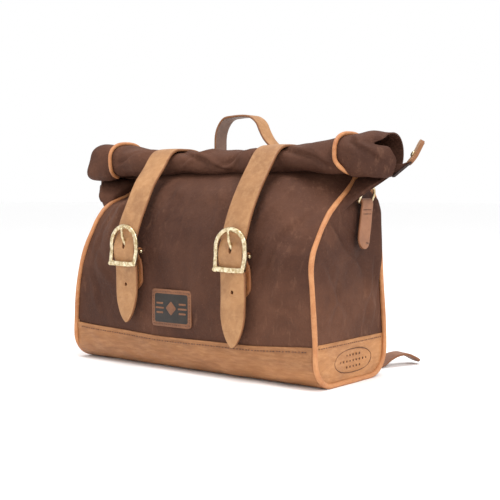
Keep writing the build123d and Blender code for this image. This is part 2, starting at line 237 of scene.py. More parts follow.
def canvas_material():
    """Waxed canvas: fine weave, mottled wax and pale lines where it has been creased."""
    cloth = Recipe("waxed_canvas", 0.78, specular=0.18)
    broad = cloth.ramp(cloth.noise(7, 4, 0.6, 0.6), 0.3, 0.72)
    small = cloth.ramp(cloth.noise(60, 5, 0.65, 0.4), 0.25, 0.8)
    tone = cloth.mix(broad, linear(62, 36, 26), linear(100, 66, 50))
    tone = cloth.mix(cloth.maths("MULTIPLY", small, 0.5), tone, linear(80, 50, 36))
    speck = cloth.ramp(cloth.noise(420, 2, 0.7), 0.58, 0.8)
    tone = cloth.mix(cloth.maths("MULTIPLY", speck, 0.35), tone, linear(116, 80, 62))
    # chalky rubbed streaks, where a mask lets them show
    streaks = cloth.noise(130, 4, 0.7, 0.3, cloth.stretched((1, 1, 0.4), (0.4, 0.5, 0.2)))
    mask = cloth.ramp(cloth.noise(11, 3, 0.5), 0.42, 0.62)
    rubbed = cloth.maths("MULTIPLY", cloth.ramp(streaks, 0.52, 0.7), mask)
    tone = cloth.mix(cloth.maths("MULTIPLY", rubbed, 0.18), tone, linear(150, 108, 84))
    cloth.colour(tone)
    cloth.gloss(broad, 0.66, 0.86)
    warp = cloth.waves(620, "X", source=cloth.flat)
    weft = cloth.waves(620, "Y", source=cloth.flat)
    cloth.bump(cloth.maths("MULTIPLY", warp, weft), 0.12, 0.5)
    cloth.bump(cloth.noise(900, 3, 0.7), 0.15, 0.5)
    cloth.bump(cloth.noise(140, 5, 0.65, 0.2), 1.4, 0.8)
    cloth.bump(cloth.noise(34, 5, 0.6, 0.5), 4.0, 0.7)
    return cloth.material


def leather_material(name, base, dark, pale, edge=None, pores=0.35, drawn=(1, 1, 1)):
    """Oiled leather: cloudy tone, scuffs, pores, and darker burnished edges on a strap."""
    hide = Recipe(name, 0.55, specular=0.35)
    # the tone is stretched by drawn: on the base it runs in horizontal streaks, the leather's mottling
    # together with painted highlights and shade along its creases
    pulled = hide.stretched(drawn)
    cloud = hide.ramp(hide.noise(16, 4, 0.6, 0.5, pulled), 0.3, 0.7)
    fine = hide.ramp(hide.noise(120, 5, 0.7, 0.3, pulled), 0.35, 0.75)
    tone = hide.mix(cloud, dark, base)
    tone = hide.mix(hide.maths("MULTIPLY", fine, 0.45), tone, pale)
    scratches = hide.noise(60, 2, 0.5, source=hide.stretched((1, 6, 9), (0.4, 0.2, 0.5)))
    scuff = hide.ramp(scratches, 0.64, 0.74)
    tone = hide.mix(hide.maths("MULTIPLY", scuff, 0.5), tone, dark)
    blotch = hide.ramp(hide.noise(34, 5, 0.65, 0.8, pulled), 0.46, 0.62)
    tone = hide.mix(hide.maths("MULTIPLY", blotch, 0.4), tone, dark)
    if edge:
        across = hide.add("ShaderNodeSeparateXYZ")
        hide.link(hide.flat, across.inputs["Vector"])
        centred = hide.maths("ABSOLUTE", hide.maths("SUBTRACT", across.outputs["X"], 0.5))
        uneven = hide.maths("MULTIPLY", hide.noise(150, 3), 0.05)
        rim = hide.ramp(hide.maths("ADD", centred, uneven), 0.475, 0.52)
        tone = hide.mix(hide.maths("MULTIPLY", rim, 0.8), tone, edge)
    hide.colour(tone)
    hide.gloss(cloud, 0.46, 0.64)
    hide.bump(hide.cells(1100), 0.12, pores)
    hide.bump(hide.noise(260, 4, 0.6), 0.4, 0.6)
    hide.bump(hide.noise(45, 3, 0.5), 1.4, 0.4)
    return hide.material


def brass_material():
    """Hammered antique brass, duller in its hollows."""
    metal = Recipe("brass", 0.3, metallic=1.0)
    patina = metal.ramp(metal.noise(240, 4, 0.6), 0.35, 0.7)
    metal.colour(metal.mix(patina, linear(178, 156, 116), linear(236, 222, 190)))
    metal.gloss(patina, 0.44, 0.28)
    metal.bump(metal.cells(200), 0.6, 0.14)
    metal.bump(metal.noise(700, 3, 0.6), 0.1, 0.2)
    return metal.material


def woven_material(name, base, dark):
    """A flat woven strip or lining cloth."""
    cloth = Recipe(name, 0.85, specular=0.2)
    warp = cloth.waves(300, "X")
    weft = cloth.waves(300, "Z")
    weave = cloth.maths("MULTIPLY", warp, weft)
    tone = cloth.mix(cloth.ramp(cloth.noise(40, 4), 0.3, 0.7), dark, base)
    cloth.colour(cloth.mix(cloth.maths("MULTIPLY", weave, 0.4), tone, dark))
    cloth.bump(weave, 0.35, 0.7)
    cloth.bump(cloth.noise(500, 3), 0.15, 0.4)
    return cloth.material


def board_material():
    """Black stiffener board with a pebbled face."""
    board = Recipe("stiffener_board", 0.7)
    tone = board.ramp(board.noise(30, 4), 0.3, 0.7)
    board.colour(board.mix(tone, linear(24, 23, 22), linear(44, 42, 40)))
    board.bump(board.cells(500), 0.2, 0.5)
    return board.material


def thread_material():
    """Waxed brown thread."""
    thread = Recipe("thread", 0.6)
    tone = thread.ramp(thread.noise(300, 3), 0.3, 0.7)
    thread.colour(thread.mix(tone, linear(78, 44, 28), linear(112, 70, 46)))
    thread.bump(thread.noise(1500, 2), 0.1, 0.5)
    return thread.material


# each leather's three tones from 0 to 255: its body, its dark clouds and its pale wear (on the base partly
# painted crease highlights), and its extras
BURNISHED = {"edge": linear(122, 76, 46)}
LEATHERS = {
    "strap_leather": ((168, 122, 80), (138, 96, 60), (190, 146, 102), BURNISHED),
    "tail_leather": ((142, 96, 68), (116, 76, 54), (162, 114, 84), BURNISHED),
    "dark_leather": ((160, 100, 56), (128, 76, 42), (176, 116, 72), BURNISHED),
    "flesh_leather": ((128, 98, 82), (106, 78, 64), (146, 118, 100), {}),
    # the base's tones are drawn out into horizontal streaks: the leather's own mottling together with
    # painted highlights and shade along its creases
    "base_leather": ((160, 108, 66), (130, 84, 48), (190, 138, 92),
                     {"pores": 0.45, "drawn": (0.45, 0.45, 2.2)}),
    # a paler copy of the base leather for the end patches: painted light, the ends taking more light than
    # the front; its tones are drawn into streaks as on the base
    "base_leather_lit_copy": ((176, 122, 76), (148, 98, 58), (206, 154, 106),
                         {"pores": 0.45, "drawn": (0.6, 0.6, 1.8)}),
    "piping_leather": ((190, 130, 84), (162, 102, 62), (206, 152, 106), {}),
    "patch_leather": ((128, 84, 56), (100, 64, 44), (144, 98, 68), {}),
    "patch_field": ((44, 38, 33), (32, 28, 25), (58, 50, 43), {}),
    "badge_line": ((100, 62, 36), (80, 48, 28), (116, 76, 48), {}),
}


def make_materials():
    """Every material by name."""
    made = {name: leather_material(name, linear(*base), linear(*dark), linear(*pale), **extras)
            for name, (base, dark, pale, extras) in LEATHERS.items()}
    made["waxed_canvas"] = canvas_material()
    made["brass"] = brass_material()
    made["webbing"] = woven_material("webbing", linear(74, 60, 56), linear(40, 32, 30))
    made["lining_cloth"] = woven_material("lining_cloth", linear(88, 78, 62), linear(64, 56, 44))
    made["stiffener_board"] = board_material()
    made["thread"] = thread_material()
    return made


MATERIALS = make_materials()


# ---- shapes ----

def soft_curve(places, values, blur=12):
    """A smooth function through levels: straight runs whose corners are rounded over blur millimetres."""
    steps = np.arange(places[0], places[-1] + 1.0)
    straight = np.interp(steps, places, values)
    window = np.hanning(2 * blur + 3)
    padded = np.pad(straight, blur + 1, mode="reflect", reflect_type="odd")
    rounded = np.convolve(padded, window / window.sum(), mode="valid")
    return lambda at: np.interp(at, steps, rounded)


def smoothstep(value, low, high):
    """0 below low, 1 above high, eased between."""
    share = np.clip((value - low) / (high - low), 0, 1)
    return share * share * (3 - 2 * share)


def bell(value, centre, width):
    """1 at the centre, falling away smoothly over a width."""
    return np.exp(-((value - centre) / width) ** 2)


def ripple(seed, length, waves=9):
    """A smooth field of uneven bumps, about plus or minus 1, of a given length in millimetres."""
    random = np.random.default_rng(seed)
    ways = random.normal(size=(waves, 3))
    ways /= np.linalg.norm(ways, axis=1)[:, None]
    pitch = 2 * pi / (length * random.uniform(0.7, 1.6, waves))
    phase = random.uniform(0, 2 * pi, waves)

    def field(points):
        angle = points @ (ways * pitch[:, None]).T + phase
        return np.sin(angle).sum(axis=-1) / np.sqrt(waves)

    return field


def distances(path):
    """How far along a path each of its points lies."""
    return np.concatenate([[0], np.cumsum(np.linalg.norm(np.diff(path, axis=0), axis=1))])


def points_at(path, run, at):
    """The points of a path at the given distances along it."""
    return np.stack([np.interp(at, run, path[:, k]) for k in range(3)], axis=1)


def smooth_path(points, spacing=3.0):
    """Points along a Catmull-Rom curve through the given ones, evenly spaced."""
    knots = np.array(points, float)
    ends = np.vstack([2 * knots[0] - knots[1], knots, 2 * knots[-1] - knots[-2]])
    dense = []
    for before, start, stop, after in zip(ends, ends[1:], ends[2:], ends[3:]):
        for t in np.linspace(0, 1, 24, endpoint=False):
            dense.append(0.5 * (
                2 * start + (stop - before) * t + (2 * before - 5 * start + 4 * stop - after) * t ** 2
                + (3 * start - before - 3 * stop + after) * t ** 3))
    dense.append(knots[-1])
    dense = np.array(dense)
    run = distances(dense)
    count = max(4, int(run[-1] / spacing) + 1)
    return points_at(dense, run, np.linspace(0, run[-1], count))


def new_piece(name, points, faces, material, body="bag", slot=None, uvs=None, replaced=()):
    """A smooth mesh piece in metres that rides on a body."""
    mesh = bpy.data.meshes.new(name)
    mesh.from_pydata((np.asarray(points, float) * MM).tolist(), [], faces)
    mesh.update()
    mesh.polygons.foreach_set("use_smooth", [True] * len(mesh.polygons))
    if uvs is not None:
        layer = mesh.uv_layers.new(name="UVMap")
        corners = np.empty(len(mesh.loops), int)
        mesh.loops.foreach_get("vertex_index", corners)
        layer.data.foreach_set("uv", np.asarray(uvs, float)[corners].ravel())
    mesh.materials.append(MATERIALS[material])
    piece = bpy.data.objects.new(name, mesh)
    bpy.context.scene.collection.objects.link(piece)
    if replaced:
        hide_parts(*replaced)
    if body:
        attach(piece, body)
    return piece


def grid_faces(rows, columns, wrap=False):
    """Four-sided faces of a grid of points, closed round its columns if it wraps."""
    faces = []
    for i in range(rows - 1):
        for j in range(columns if wrap else columns - 1):
            k = (j + 1) % columns
            faces.append((i * columns + j, i * columns + k, (i + 1) * columns + k, (i + 1) * columns + j))
    return faces


def tube_faces(rows, columns):
    """Faces of rings that follow one another, with both ends closed."""
    faces = grid_faces(rows, columns, wrap=True)
    faces.append(tuple(range(columns))[::-1])
    faces.append(tuple(range((rows - 1) * columns, rows * columns)))
    return faces


def surface(name, grid, thickness, material, **facts):
    """A cloth or leather sheet: a grid of points as its outer face, with its thickness behind it."""
    rows, columns = grid.shape[:2]
    across = np.linalg.norm(np.diff(grid, axis=1), axis=2).mean(axis=0).cumsum()
    along = np.linalg.norm(np.diff(grid, axis=0), axis=2).mean(axis=1).cumsum()
    u, v = np.meshgrid(np.concatenate([[0], across]) / 1000, np.concatenate([[0], along]) / 1000)
    uvs = np.stack([u, v], axis=2).reshape(-1, 2)
    piece = new_piece(name, grid.reshape(-1, 3), grid_faces(rows, columns), material, uvs=uvs, **facts)
    shell = piece.modifiers.new("thickness", "SOLIDIFY")
    shell.thickness = thickness * MM
    shell.offset = -1
    return piece


def frames_along(path, knots, normals):
    """Unit tangent, normal and side at every point of a path, from one normal or one for each knot."""
    run, knots, way = distances(path), np.array(knots, float), np.array(normals, float)
    knot_run = [run[np.argmin(np.linalg.norm(path - knot, axis=1))] for knot in knots]
    if way.ndim == 1:
        way = np.tile(way, (len(knots), 1))
    normals = points_at(way, knot_run, run)
    tangent = np.gradient(path, axis=0)
    tangent /= np.linalg.norm(tangent, axis=1)[:, None]
    normal = normals - (normals * tangent).sum(axis=1)[:, None] * tangent
    normal /= np.linalg.norm(normal, axis=1)[:, None]
    return tangent, normal, np.cross(tangent, normal)


def rounded_section(half_width, half_thickness, corner, flats=6):
    """Half-turn by half-turn outline of a flat strap: its offsets across and outward."""
    corner = min(corner, half_thickness * 0.98, half_width * 0.98)
    arc = np.radians([90, 60, 30, 0, -30, -60, -90])
    right = np.stack([half_width - corner + corner * np.cos(arc),
                      (half_thickness - corner) * np.sign(np.sin(arc)) + corner * np.sin(arc)], axis=1)
    inner = np.linspace(half_width - corner, corner - half_width, flats + 2)[1:-1]
    bottom = np.stack([inner, np.full(flats, -half_thickness)], axis=1)
    left = right[::-1] * (-1, 1)
    top = np.stack([inner[::-1], np.full(flats, half_thickness)], axis=1)
    return np.concatenate([right, bottom, left, top])


def strap(name, points, normals, width, thickness, material, widths=None, corner=1.1, wobble=0.0,
          spacing=3.0, cup=0.0, **facts):
    """A leather strap along a path. Its face looks along the normals, and widths, a function of the
    distances from its two ends, narrows it."""
    path = smooth_path(points, spacing)
    if widths:
        path = with_fine_ends(path, width)
    run = distances(path)
    normal, side = frames_along(path, points, normals)[1:]
    outline = rounded_section(width / 2, thickness / 2, corner)
    points_out, uvs = [], []
    for at, centre, out, across in zip(run, path, normal, side):
        scale = widths(at, run[-1] - at) if widths else 1.0
        for offset, height in outline:
            reach = offset * scale
            bend = cup * (offset / (width / 2)) ** 2
            points_out.append(centre + across * reach + out * (height + bend))
            uvs.append((0.5 + offset / width * (1 if height > -thickness / 2 + 0.01 else 0.9), at / 1000))
    points_out = np.array(points_out)
    if wobble:
        field = ripple(1, 45)
        lift = np.repeat(normal, len(outline), axis=0)
        points_out = points_out + lift * (wobble * field(np.repeat(path, len(outline), axis=0)))[:, None]
    return new_piece(name, points_out, tube_faces(len(path), len(outline)), material, uvs=uvs, **facts)


def with_fine_ends(path, reach):
    """The path with closer points near both ends, for a rounded tip."""
    run = distances(path)
    near = np.array([0.15, 0.5, 1.1, 2, 3.2, 4.8, 6.8]) / 10 * min(reach, 12)
    return points_at(path, run, np.unique(np.concatenate([run, near, run[-1] - near])))


def round_ends(radius, start=True, stop=True):
    """Widths of a strap whose ends are half round."""
    def widths(from_start, from_stop):
        scale = 1.0
        for used, distance in ((start, from_start), (stop, from_stop)):
            if used and distance < radius:
                scale = min(scale, np.sqrt(max(1e-4, 1 - (1 - distance / radius) ** 2)))
        return scale
    return widths


def leaf_tip(length):
    """Widths of a strap whose far end narrows to a leaf-shaped tip."""
    def widths(from_start, from_stop):
        share = min(1.0, from_stop / length)
        return max(np.sin(share * pi / 2) ** 0.6, 0.03)
    return widths


def tube(name, points, radius, material, spacing=2.5, around=14, closed=False, swell=None, **facts):
    """A round cord or wire along a path."""
    path = smooth_path(points, spacing)
    if closed:
        path = path[:-1]
        tangent = np.roll(path, -1, axis=0) - np.roll(path, 1, axis=0)
    else:
        tangent = np.gradient(path, axis=0)
    tangent /= np.linalg.norm(tangent, axis=1)[:, None]
    normal = np.cross(tangent[0], (0.3, 0.5, 0.8))
    rings = []
    for index, (centre, way) in enumerate(zip(path, tangent)):
        normal = normal - normal @ way * way
        normal /= np.linalg.norm(normal)
        side = np.cross(way, normal)
        size = radius * (swell(index / (len(path) - 1)) if swell else 1.0)
        turns = np.arange(around) * 2 * pi / around
        rings.append(centre + size * (np.outer(np.cos(turns), normal) + np.outer(np.sin(turns), side)))
    if closed:
        # the frame turns on its way round, so the last ring meets the first at its nearest point
        faces = grid_faces(len(rings), around, wrap=True)
        shift = int(np.argmin(np.linalg.norm(rings[0] - rings[-1][0], axis=1)))
        last = (len(rings) - 1) * around
        for j in range(around):
            k = (j + 1) % around
            faces.append((last + j, last + k, (k + shift) % around, (j + shift) % around))
    else:
        faces = tube_faces(len(rings), around)
    return new_piece(name, np.concatenate(rings), faces, material, **facts)


def stitch_row(name, points, normals, pitch=4.6, length=3.1, radius=0.42, slot="strap_leather"):
    """A row of stitches: short beads of thread, half sunk in the surface."""
    path = smooth_path(points, 1.0)
    run = distances(path)
    tangent, normal, side = frames_along(path, points, normals)
    around = 6
    vertices, faces = [], []
    for at in np.arange(pitch / 2, run[-1], pitch):
        index = int(np.argmin(abs(run - at)))
        first = len(vertices)
        for station, size in ((-1.0, 0.25), (-0.7, 0.9), (0, 1.1), (0.7, 0.9), (1.0, 0.25)):
            centre = path[index] + tangent[index] * station * length / 2
            for angle in np.arange(around) * 2 * pi / around:
                vertices.append(centre + radius * size * (
                    normal[index] * sin(angle) + side[index] * 1.25 * cos(angle)))
        faces += [tuple(first + corner for corner in face) for face in tube_faces(5, around)]
    return new_piece(name, vertices, faces, "thread", slot=slot)


def pierce(piece, centres, axis, radius, stretch=1.0):
    """Cut small round holes right through a piece, or upright oval ones."""
    axis = np.array(axis, float) / np.linalg.norm(axis)
    long_way = np.array((0, 0, 1.0))
    wide_way = np.cross(long_way, axis)
    around, reach = 14, 8
    vertices, faces = [], []
    for centre in centres:
        first = len(vertices)
        for depth in (-reach, reach):
            for angle in np.arange(around) * 2 * pi / around:
                vertices.append(np.array(centre, float) + axis * depth
                                + radius * (wide_way * cos(angle) + long_way * stretch * sin(angle)))
        faces += [tuple(first + corner for corner in face) for face in tube_faces(2, around)]
    mesh = bpy.data.meshes.new("cutter")
    mesh.from_pydata((np.array(vertices) * MM).tolist(), [], faces)
    cutter = bpy.data.objects.new("cutter", mesh)
    bpy.context.scene.collection.objects.link(cutter)
    cut = piece.modifiers.new("holes", "BOOLEAN")
    cut.operation = "DIFFERENCE"
    cut.solver = "EXACT"
    cut.object = cutter
    ready = piece.evaluated_get(bpy.context.evaluated_depsgraph_get())
    pierced = bpy.data.meshes.new_from_object(ready)
    piece.modifiers.clear()
    piece.data = pierced
    bpy.data.objects.remove(cutter)


# ---- the canvas body ----

BASE_TOP = box_mm("base_patch_right")[1][2]
HALF_WIDTH = box_mm("base_patch_right")[1][0]
MOUTH = box_mm("front_panel")[1][2]
HALF_DEPTH = box_mm("base_panel")[1][1]
SEAM_LEAN = 0.071
STRAP_X = 90.0
CANVAS = 1.8
# radius of the base's long lower edges
CORNER = 32.0
# where the body's front seams, its front between the straps and its rear are at each height
LEVELS = [0, 150, 178, 200, 216, 230, 240, MOUTH, 262]
SEAM_RIGHT = soft_curve(LEVELS, [-75, -75, -56, -37, -15, 9, 23, 34, 38], 10)
SEAM_LEFT = soft_curve([0, 95, 129, 156, 170, 191, 204, 214, 221, 228, 240, MOUTH, 262],
                       [-75, -74, -70, -61, -54, -43, -32, -18, 6, 24, 31, 35, 38], 6)
MIDDLE_Y = soft_curve(LEVELS, [-75, -76, -70, -62, -53, -43, -31, -8, 14], 9)
REAR_Y = soft_curve([0, 205, 222, 240, MOUTH, 262], [75, 75, 69, 57, 47, 43], 7)
folds = ripple(3, 60)
small_folds = ripple(8, 24)
# pulled folds as start, end, width and depth: on the front by X and Z, on an end panel by Y and Z,
# and on the roll by X and the distance round it
FRONT_PLEATS = (
    ((176, 214), (128, 150), 7, 2.4), ((184, 190), (150, 110), 8, 2.2), ((-182, 176), (-140, 120), 8, 2.2),
    ((-150, 222), (-172, 150), 7, 2.6), ((-120, 236), (-132, 180), 6, 2.2), ((40, 236), (52, 190), 6, 2.0),
    ((-30, 238), (-48, 196), 6, 2.0), ((-176, 120), (-150, 70), 7, 1.8), ((150, 92), (186, 72), 7, 1.6),
    ((140, 236), (118, 196), 6, 2.2),
)
END_PLEATS = (
    ((-46, 200), (16, 140), 7, 2.4), ((-60, 150), (-20, 92), 8, 2.2), ((48, 140), (30, 72), 7, 2.4),
    ((64, 120), (52, 66), 6, 1.8), ((-30, 120), (-44, 74), 7, 1.6),
)
ROLL_PLEATS = (
    ((-62, 58), (14, 104), 6, 2.8), ((62, 60), (22, 98), 6, 2.6), ((-20, 60), (-50, 92), 5, 2.2),
    ((114, 66), (176, 104), 6, 2.8), ((-116, 62), (-174, 98), 6, 2.6), ((206, 66), (238, 100), 5, 2.2),
)


def pleats(u, v, lines):
    """Relief of pulled folds, each raised on one side of its line and sunk on the other."""
    total = 0 * u
    for (u0, v0), (u1, v1), width, depth in lines:
        span = np.hypot(u1 - u0, v1 - v0)
        along = ((u - u0) * (u1 - u0) + (v - v0) * (v1 - v0)) / span
        beside = ((u - u0) * (v1 - v0) - (v - v0) * (u1 - u0)) / span + 2.2 * np.sin(along / 11)
        past = np.maximum(0, np.maximum(-along, along - span))
        total += 2.3 * depth * beside / width * np.exp(-(beside / width) ** 2 - (past / (2 * width)) ** 2)
    return total


def seam_x(height):
    """How far out the seams of an end panel are at a height."""
    return HALF_WIDTH - SEAM_LEAN * np.maximum(0, height - BASE_TOP)


def seam_y(side, z):
    """Where the front seam is at a height: the left one lies back more suddenly than the right one."""
    return np.where(np.asarray(side) > 0, SEAM_RIGHT(z), SEAM_LEFT(z))


def front_y(x, z):
    """The front panel's outer face, before its wrinkles."""
    inside = seam_x(z) - abs(x)
    puff = 60.0 + np.where(x < 0, 62.0, 26.0) * smoothstep(z, 205, 232)
    share = np.sin(np.clip(inside / puff, 0, 1) * pi / 2) ** np.where(x < 0, 1.5, 1.15)
    return seam_y(x, z) * (1 - share) + MIDDLE_Y(z) * share


def front_panel():
    """The front: flat below, puffed out and then laid back to the neck above the straps' buckles."""
    x_share = np.sin(np.linspace(-1, 1, 150) * pi / 2 * 0.86) / sin(pi / 2 * 0.86)
    heights = np.concatenate([np.linspace(40, 200, 64)[:-1], np.linspace(200, 258, 46)])
    share, z = np.meshgrid(x_share, heights)
    x = share * (seam_x(z) - 0.5)
    y = front_y(x, z)
    grid = np.stack([x, y, z], axis=2)
    inside = np.clip((seam_x(z) - abs(x)) / 25, 0, 1)
    rise = smoothstep(z, 55, 120)
    shelf = smoothstep(z, 190, 235)
    wrinkle = 1.9 * folds(grid) * (0.45 + 0.55 * rise) * (1 + 1.0 * shelf)
    wrinkle += small_folds(grid * (1, 1, 0.6)) * (0.25 + 0.55 * shelf)
    # short gathers that fan down from each end of the roll, and a dent above each strap's buckle
    for side in (-1, 1):
        for start, lean, depth in ((150, 0.55, 2.6), (164, 0.25, 2.2), (134, 0.8, 1.8)):
            line = x * side - start + 0.6 * lean * (z - 236)
            wrinkle -= depth * bell(line, 0, 6) * smoothstep(z, 176, 222) * (1 - shelf * 0.3)
        wrinkle -= 2.2 * bell(x, side * STRAP_X, 26) * bell(z, 215, 34)
    wrinkle += pleats(x, z, FRONT_PLEATS) - 2.0 * bell(x, 0, 150) * bell(z, 70, 26)
    held = smoothstep(z, BASE_TOP + 1, BASE_TOP + 34)
    grid[..., 1] -= wrinkle * inside * np.clip((258 - z) / 30, 0, 1) * held
    grid[..., 1] += 1.2 * (1 - smoothstep(z, BASE_TOP - 8, BASE_TOP + 8))
    surface("front_canvas", grid, CANVAS, "waxed_canvas", replaced=("front_panel",))


def rear_panel():
    """The rear, held flat by its stiffener, with its top laid forward to the neck."""
    x_share = np.linspace(1, -1, 110)
    heights = np.linspace(40, 258, 76)
    share, z = np.meshgrid(x_share, heights)
    x = share * (seam_x(z) - 0.5)
    grid = np.stack([x, REAR_Y(z), z], axis=2)
    inside = np.clip((seam_x(z) - abs(x)) / 25, 0, 1)
    loose = smoothstep(z, 180, 225)
    held = smoothstep(z, BASE_TOP + 1, BASE_TOP + 34)
    grid[..., 1] += (0.5 + 1.0 * loose) * folds(grid + 300) * inside * held
    grid[..., 1] -= 1.2 * (1 - smoothstep(z, BASE_TOP - 8, BASE_TOP + 8))
    grid[..., 1] += 0.5 * small_folds(grid + 90) * loose * inside
    surface("rear_canvas", grid, CANVAS, "waxed_canvas", replaced=("rear_panel",))


BULGE = soft_curve([0, 42, 58, 90, 150, 205, 222, 240, 264], [-2.5, -2.5, -1, 6, 9.5, 10.5, 9, 4, 2], 7)
# the ridge of each ear: how far it stands out past the seam, and where it is from front to rear
RIDGE_X = {
    1: soft_curve([0, 190, 205, 219, 231, 246, 264], [0, 0, 6, 20, 36, 57, 80], 5),
    -1: soft_curve([0, 182, 196, 208, 228, 246, 264], [0, 2, 12, 21, 30, 54, 80], 5),
}
RIDGE_Y = {
    1: soft_curve([0, 200, 212, 219, 231, 246, 264], [-6, -6, -7, -3, 4, 15, 30], 5),
    -1: soft_curve([0, 196, 208, 228, 246, 264], [-34, -34, -27, -14, 9, 30], 5),
}


def soft_max(first, second, reach):
    """The larger of two offsets, eased together where they are alike."""
    both = np.logaddexp(first / reach, second / reach) * reach
    return both - reach * np.log(2) * np.exp(-abs(first - second) / (1.6 * reach))


def gusset(name, side):
    """An end panel. It bulges softly, and at the mouth it is folded flat and stands out as an ear."""
    heights = np.concatenate([np.linspace(42, 190, 56)[:-1], np.linspace(190, 262, 54)])
    q, z = np.meshgrid(np.linspace(0, 1, 64), heights)
    near, far = seam_y(side, z) + 1.5, REAR_Y(z) - 1.5
    sharp = smoothstep(z, 192, 226)
    ridge_x, ridge_y = RIDGE_X[side](z), RIDGE_Y[side](z)
    centre = np.clip((ridge_y - near) / (far - near), 0.22, 0.6)
    before = np.clip(q / centre, 0, 1)
    after = np.clip((1 - q) / (1 - centre), 0, 1)
    # in front of its ridge the ear is a flat face, and behind it there is a valley
    breadth = 4.0 + 5.0 * smoothstep(z, 240, 258)
    valley = 0.08 * after + 0.92 * np.exp(-((1 - after) * (1 - centre) * (far - near) / breadth) ** 1.6)
    ridge = np.where(q < centre, before, valley)
    dome = np.sin(pi * q) ** 0.62
    bulge, ear = BULGE(z) * dome, ridge_x * ridge
    x = seam_x(z) + soft_max(bulge, ear, 2.5)
    y = near + (far - near) * q
    y += (ridge_y - (near + (far - near) * centre)) * np.minimum(before ** 1.2, after ** 0.7) * sharp
    grid = np.stack([x, y, z], axis=2)
    held = np.clip(np.minimum(q, 1 - q) / 0.12, 0, 1) * smoothstep(z, 58, 96)
    # long soft folds that run down from the ear, and a dent beside the D-ring tab
    fold = 1.7 * folds(grid * (1, 1, 0.55) + 700 * side) + 0.4 * small_folds(grid * (1, 1, 0.5))
    # behind the tab the cloth stands out past the rear seam
    behind = 11.0 * bell(y, 60, 11) * smoothstep(z, 96, 150) * (1 - smoothstep(z, 218, 240))
    fold += 2.6 * bell(y + (z - 90) * 0.1, 44, 9) * bell(z, 100, 50)
    fold -= 3.0 * bell(y + (z - 100) * 0.16, 30, 8) * bell(z, 110, 55)
    fold += pleats(y, z, END_PLEATS)
    by_ring = bell(y, 26, 24) * smoothstep(z, 146, 166) * (1 - smoothstep(z, 228, 240))
    grid[..., 0] += fold * held * (1 - 0.7 * smoothstep(z, 205, 240)) * (1 - by_ring)
    grid[..., 0] -= 1.2 * by_ring * held
    grid[..., 0] += behind * np.clip((1 - q) / 0.1, 0, 1) ** 0.7
    grid[..., 0] *= side
    if side < 0:
        grid = grid[:, ::-1]
    surface(f"gusset_canvas_{name}", grid, CANVAS, "waxed_canvas", replaced=(f"gusset_{name}",))


# ---- the rolled top ----

ROLL_LOW, ROLL_HIGH = box_mm("roll_top")
ROLL_Y = (ROLL_LOW[1] + ROLL_HIGH[1]) / 2
ROLL_DEPTH = (ROLL_HIGH[1] - ROLL_LOW[1]) / 2
ROLL_END = ROLL_HIGH[0]
ROLL_RADIUS = 30.0
ROLL_Z = soft_curve([0, 90, 150, 188, 262], [266, 266.5, 270, 273, 276.5], 14)
ROLL_HALF = soft_curve([0, 90, 150, 188, 262], [20, 19.5, 22.5, 26, 29.5], 14)
START, TURNS = radians(-62), 2.35
WELT_X = 190.0
lumps = ripple(11, 70)
dents = ripple(17, 34)


def roll_point(x, angle, depth=0.0):
    """A point of the roll's spiral: the angle runs from below the rear, over the top and forward."""
    wrap = (angle - START) / (2 * pi)
    shrink = 1 - 0.2 * wrap - depth
    # a soft box rather than an ellipse, flattened underneath
    power = 2.5 + 2.0 * smoothstep(-x, 205, 262)
    across, upward = np.cos(angle), np.sin(angle)
    size = shrink / (abs(across) ** power + abs(upward) ** power) ** (1 / power)
    out = smoothstep(x, 212, 262)
    y = ROLL_Y + 2.0 + 14.0 * out + (ROLL_DEPTH - 1.0 - 13.0 * out) * size * across
    lower = 1 - 0.08 * (upward < 0) * (1 - smoothstep(abs(x), 120, 190))
    z = ROLL_Z(abs(x)) - 1.0 * out + ROLL_HALF(abs(x)) * size * upward * lower
    return np.stack([x + 0 * y, y, z], axis=-1)


def end_edge(angle, right):
    """How far the roll reaches at each angle. On the right the front lobe hangs out past a notch."""
    wrap = (angle - START) / (2 * pi)
    inner = smoothstep(wrap, 0.9, 1.15)
    if not right:
        reach = ROLL_END - 5.0 + 8.0 * bell(angle, radians(222), 0.6) - 22.0 * bell(angle, radians(88), 0.75)
        return reach * (1 - inner) + 216.0 * inner
    reach = 243.0 + 14.0 * bell(angle, radians(200), 0.7)
    reach -= 13.0 * bell(angle, radians(150), 0.2)
    return reach * (1 - inner) + 208.0 * inner


def strap_pinch(x, front):
    """How the straps press the roll in, and how it swells beside them."""
    push = 0 * x
    for strap_x in (-STRAP_X, STRAP_X):
        push -= 1.2 * bell(x, strap_x, 21)
        push += 1.4 * (bell(x, strap_x - 36, 12) + bell(x, strap_x + 36, 12)) * front
    return push


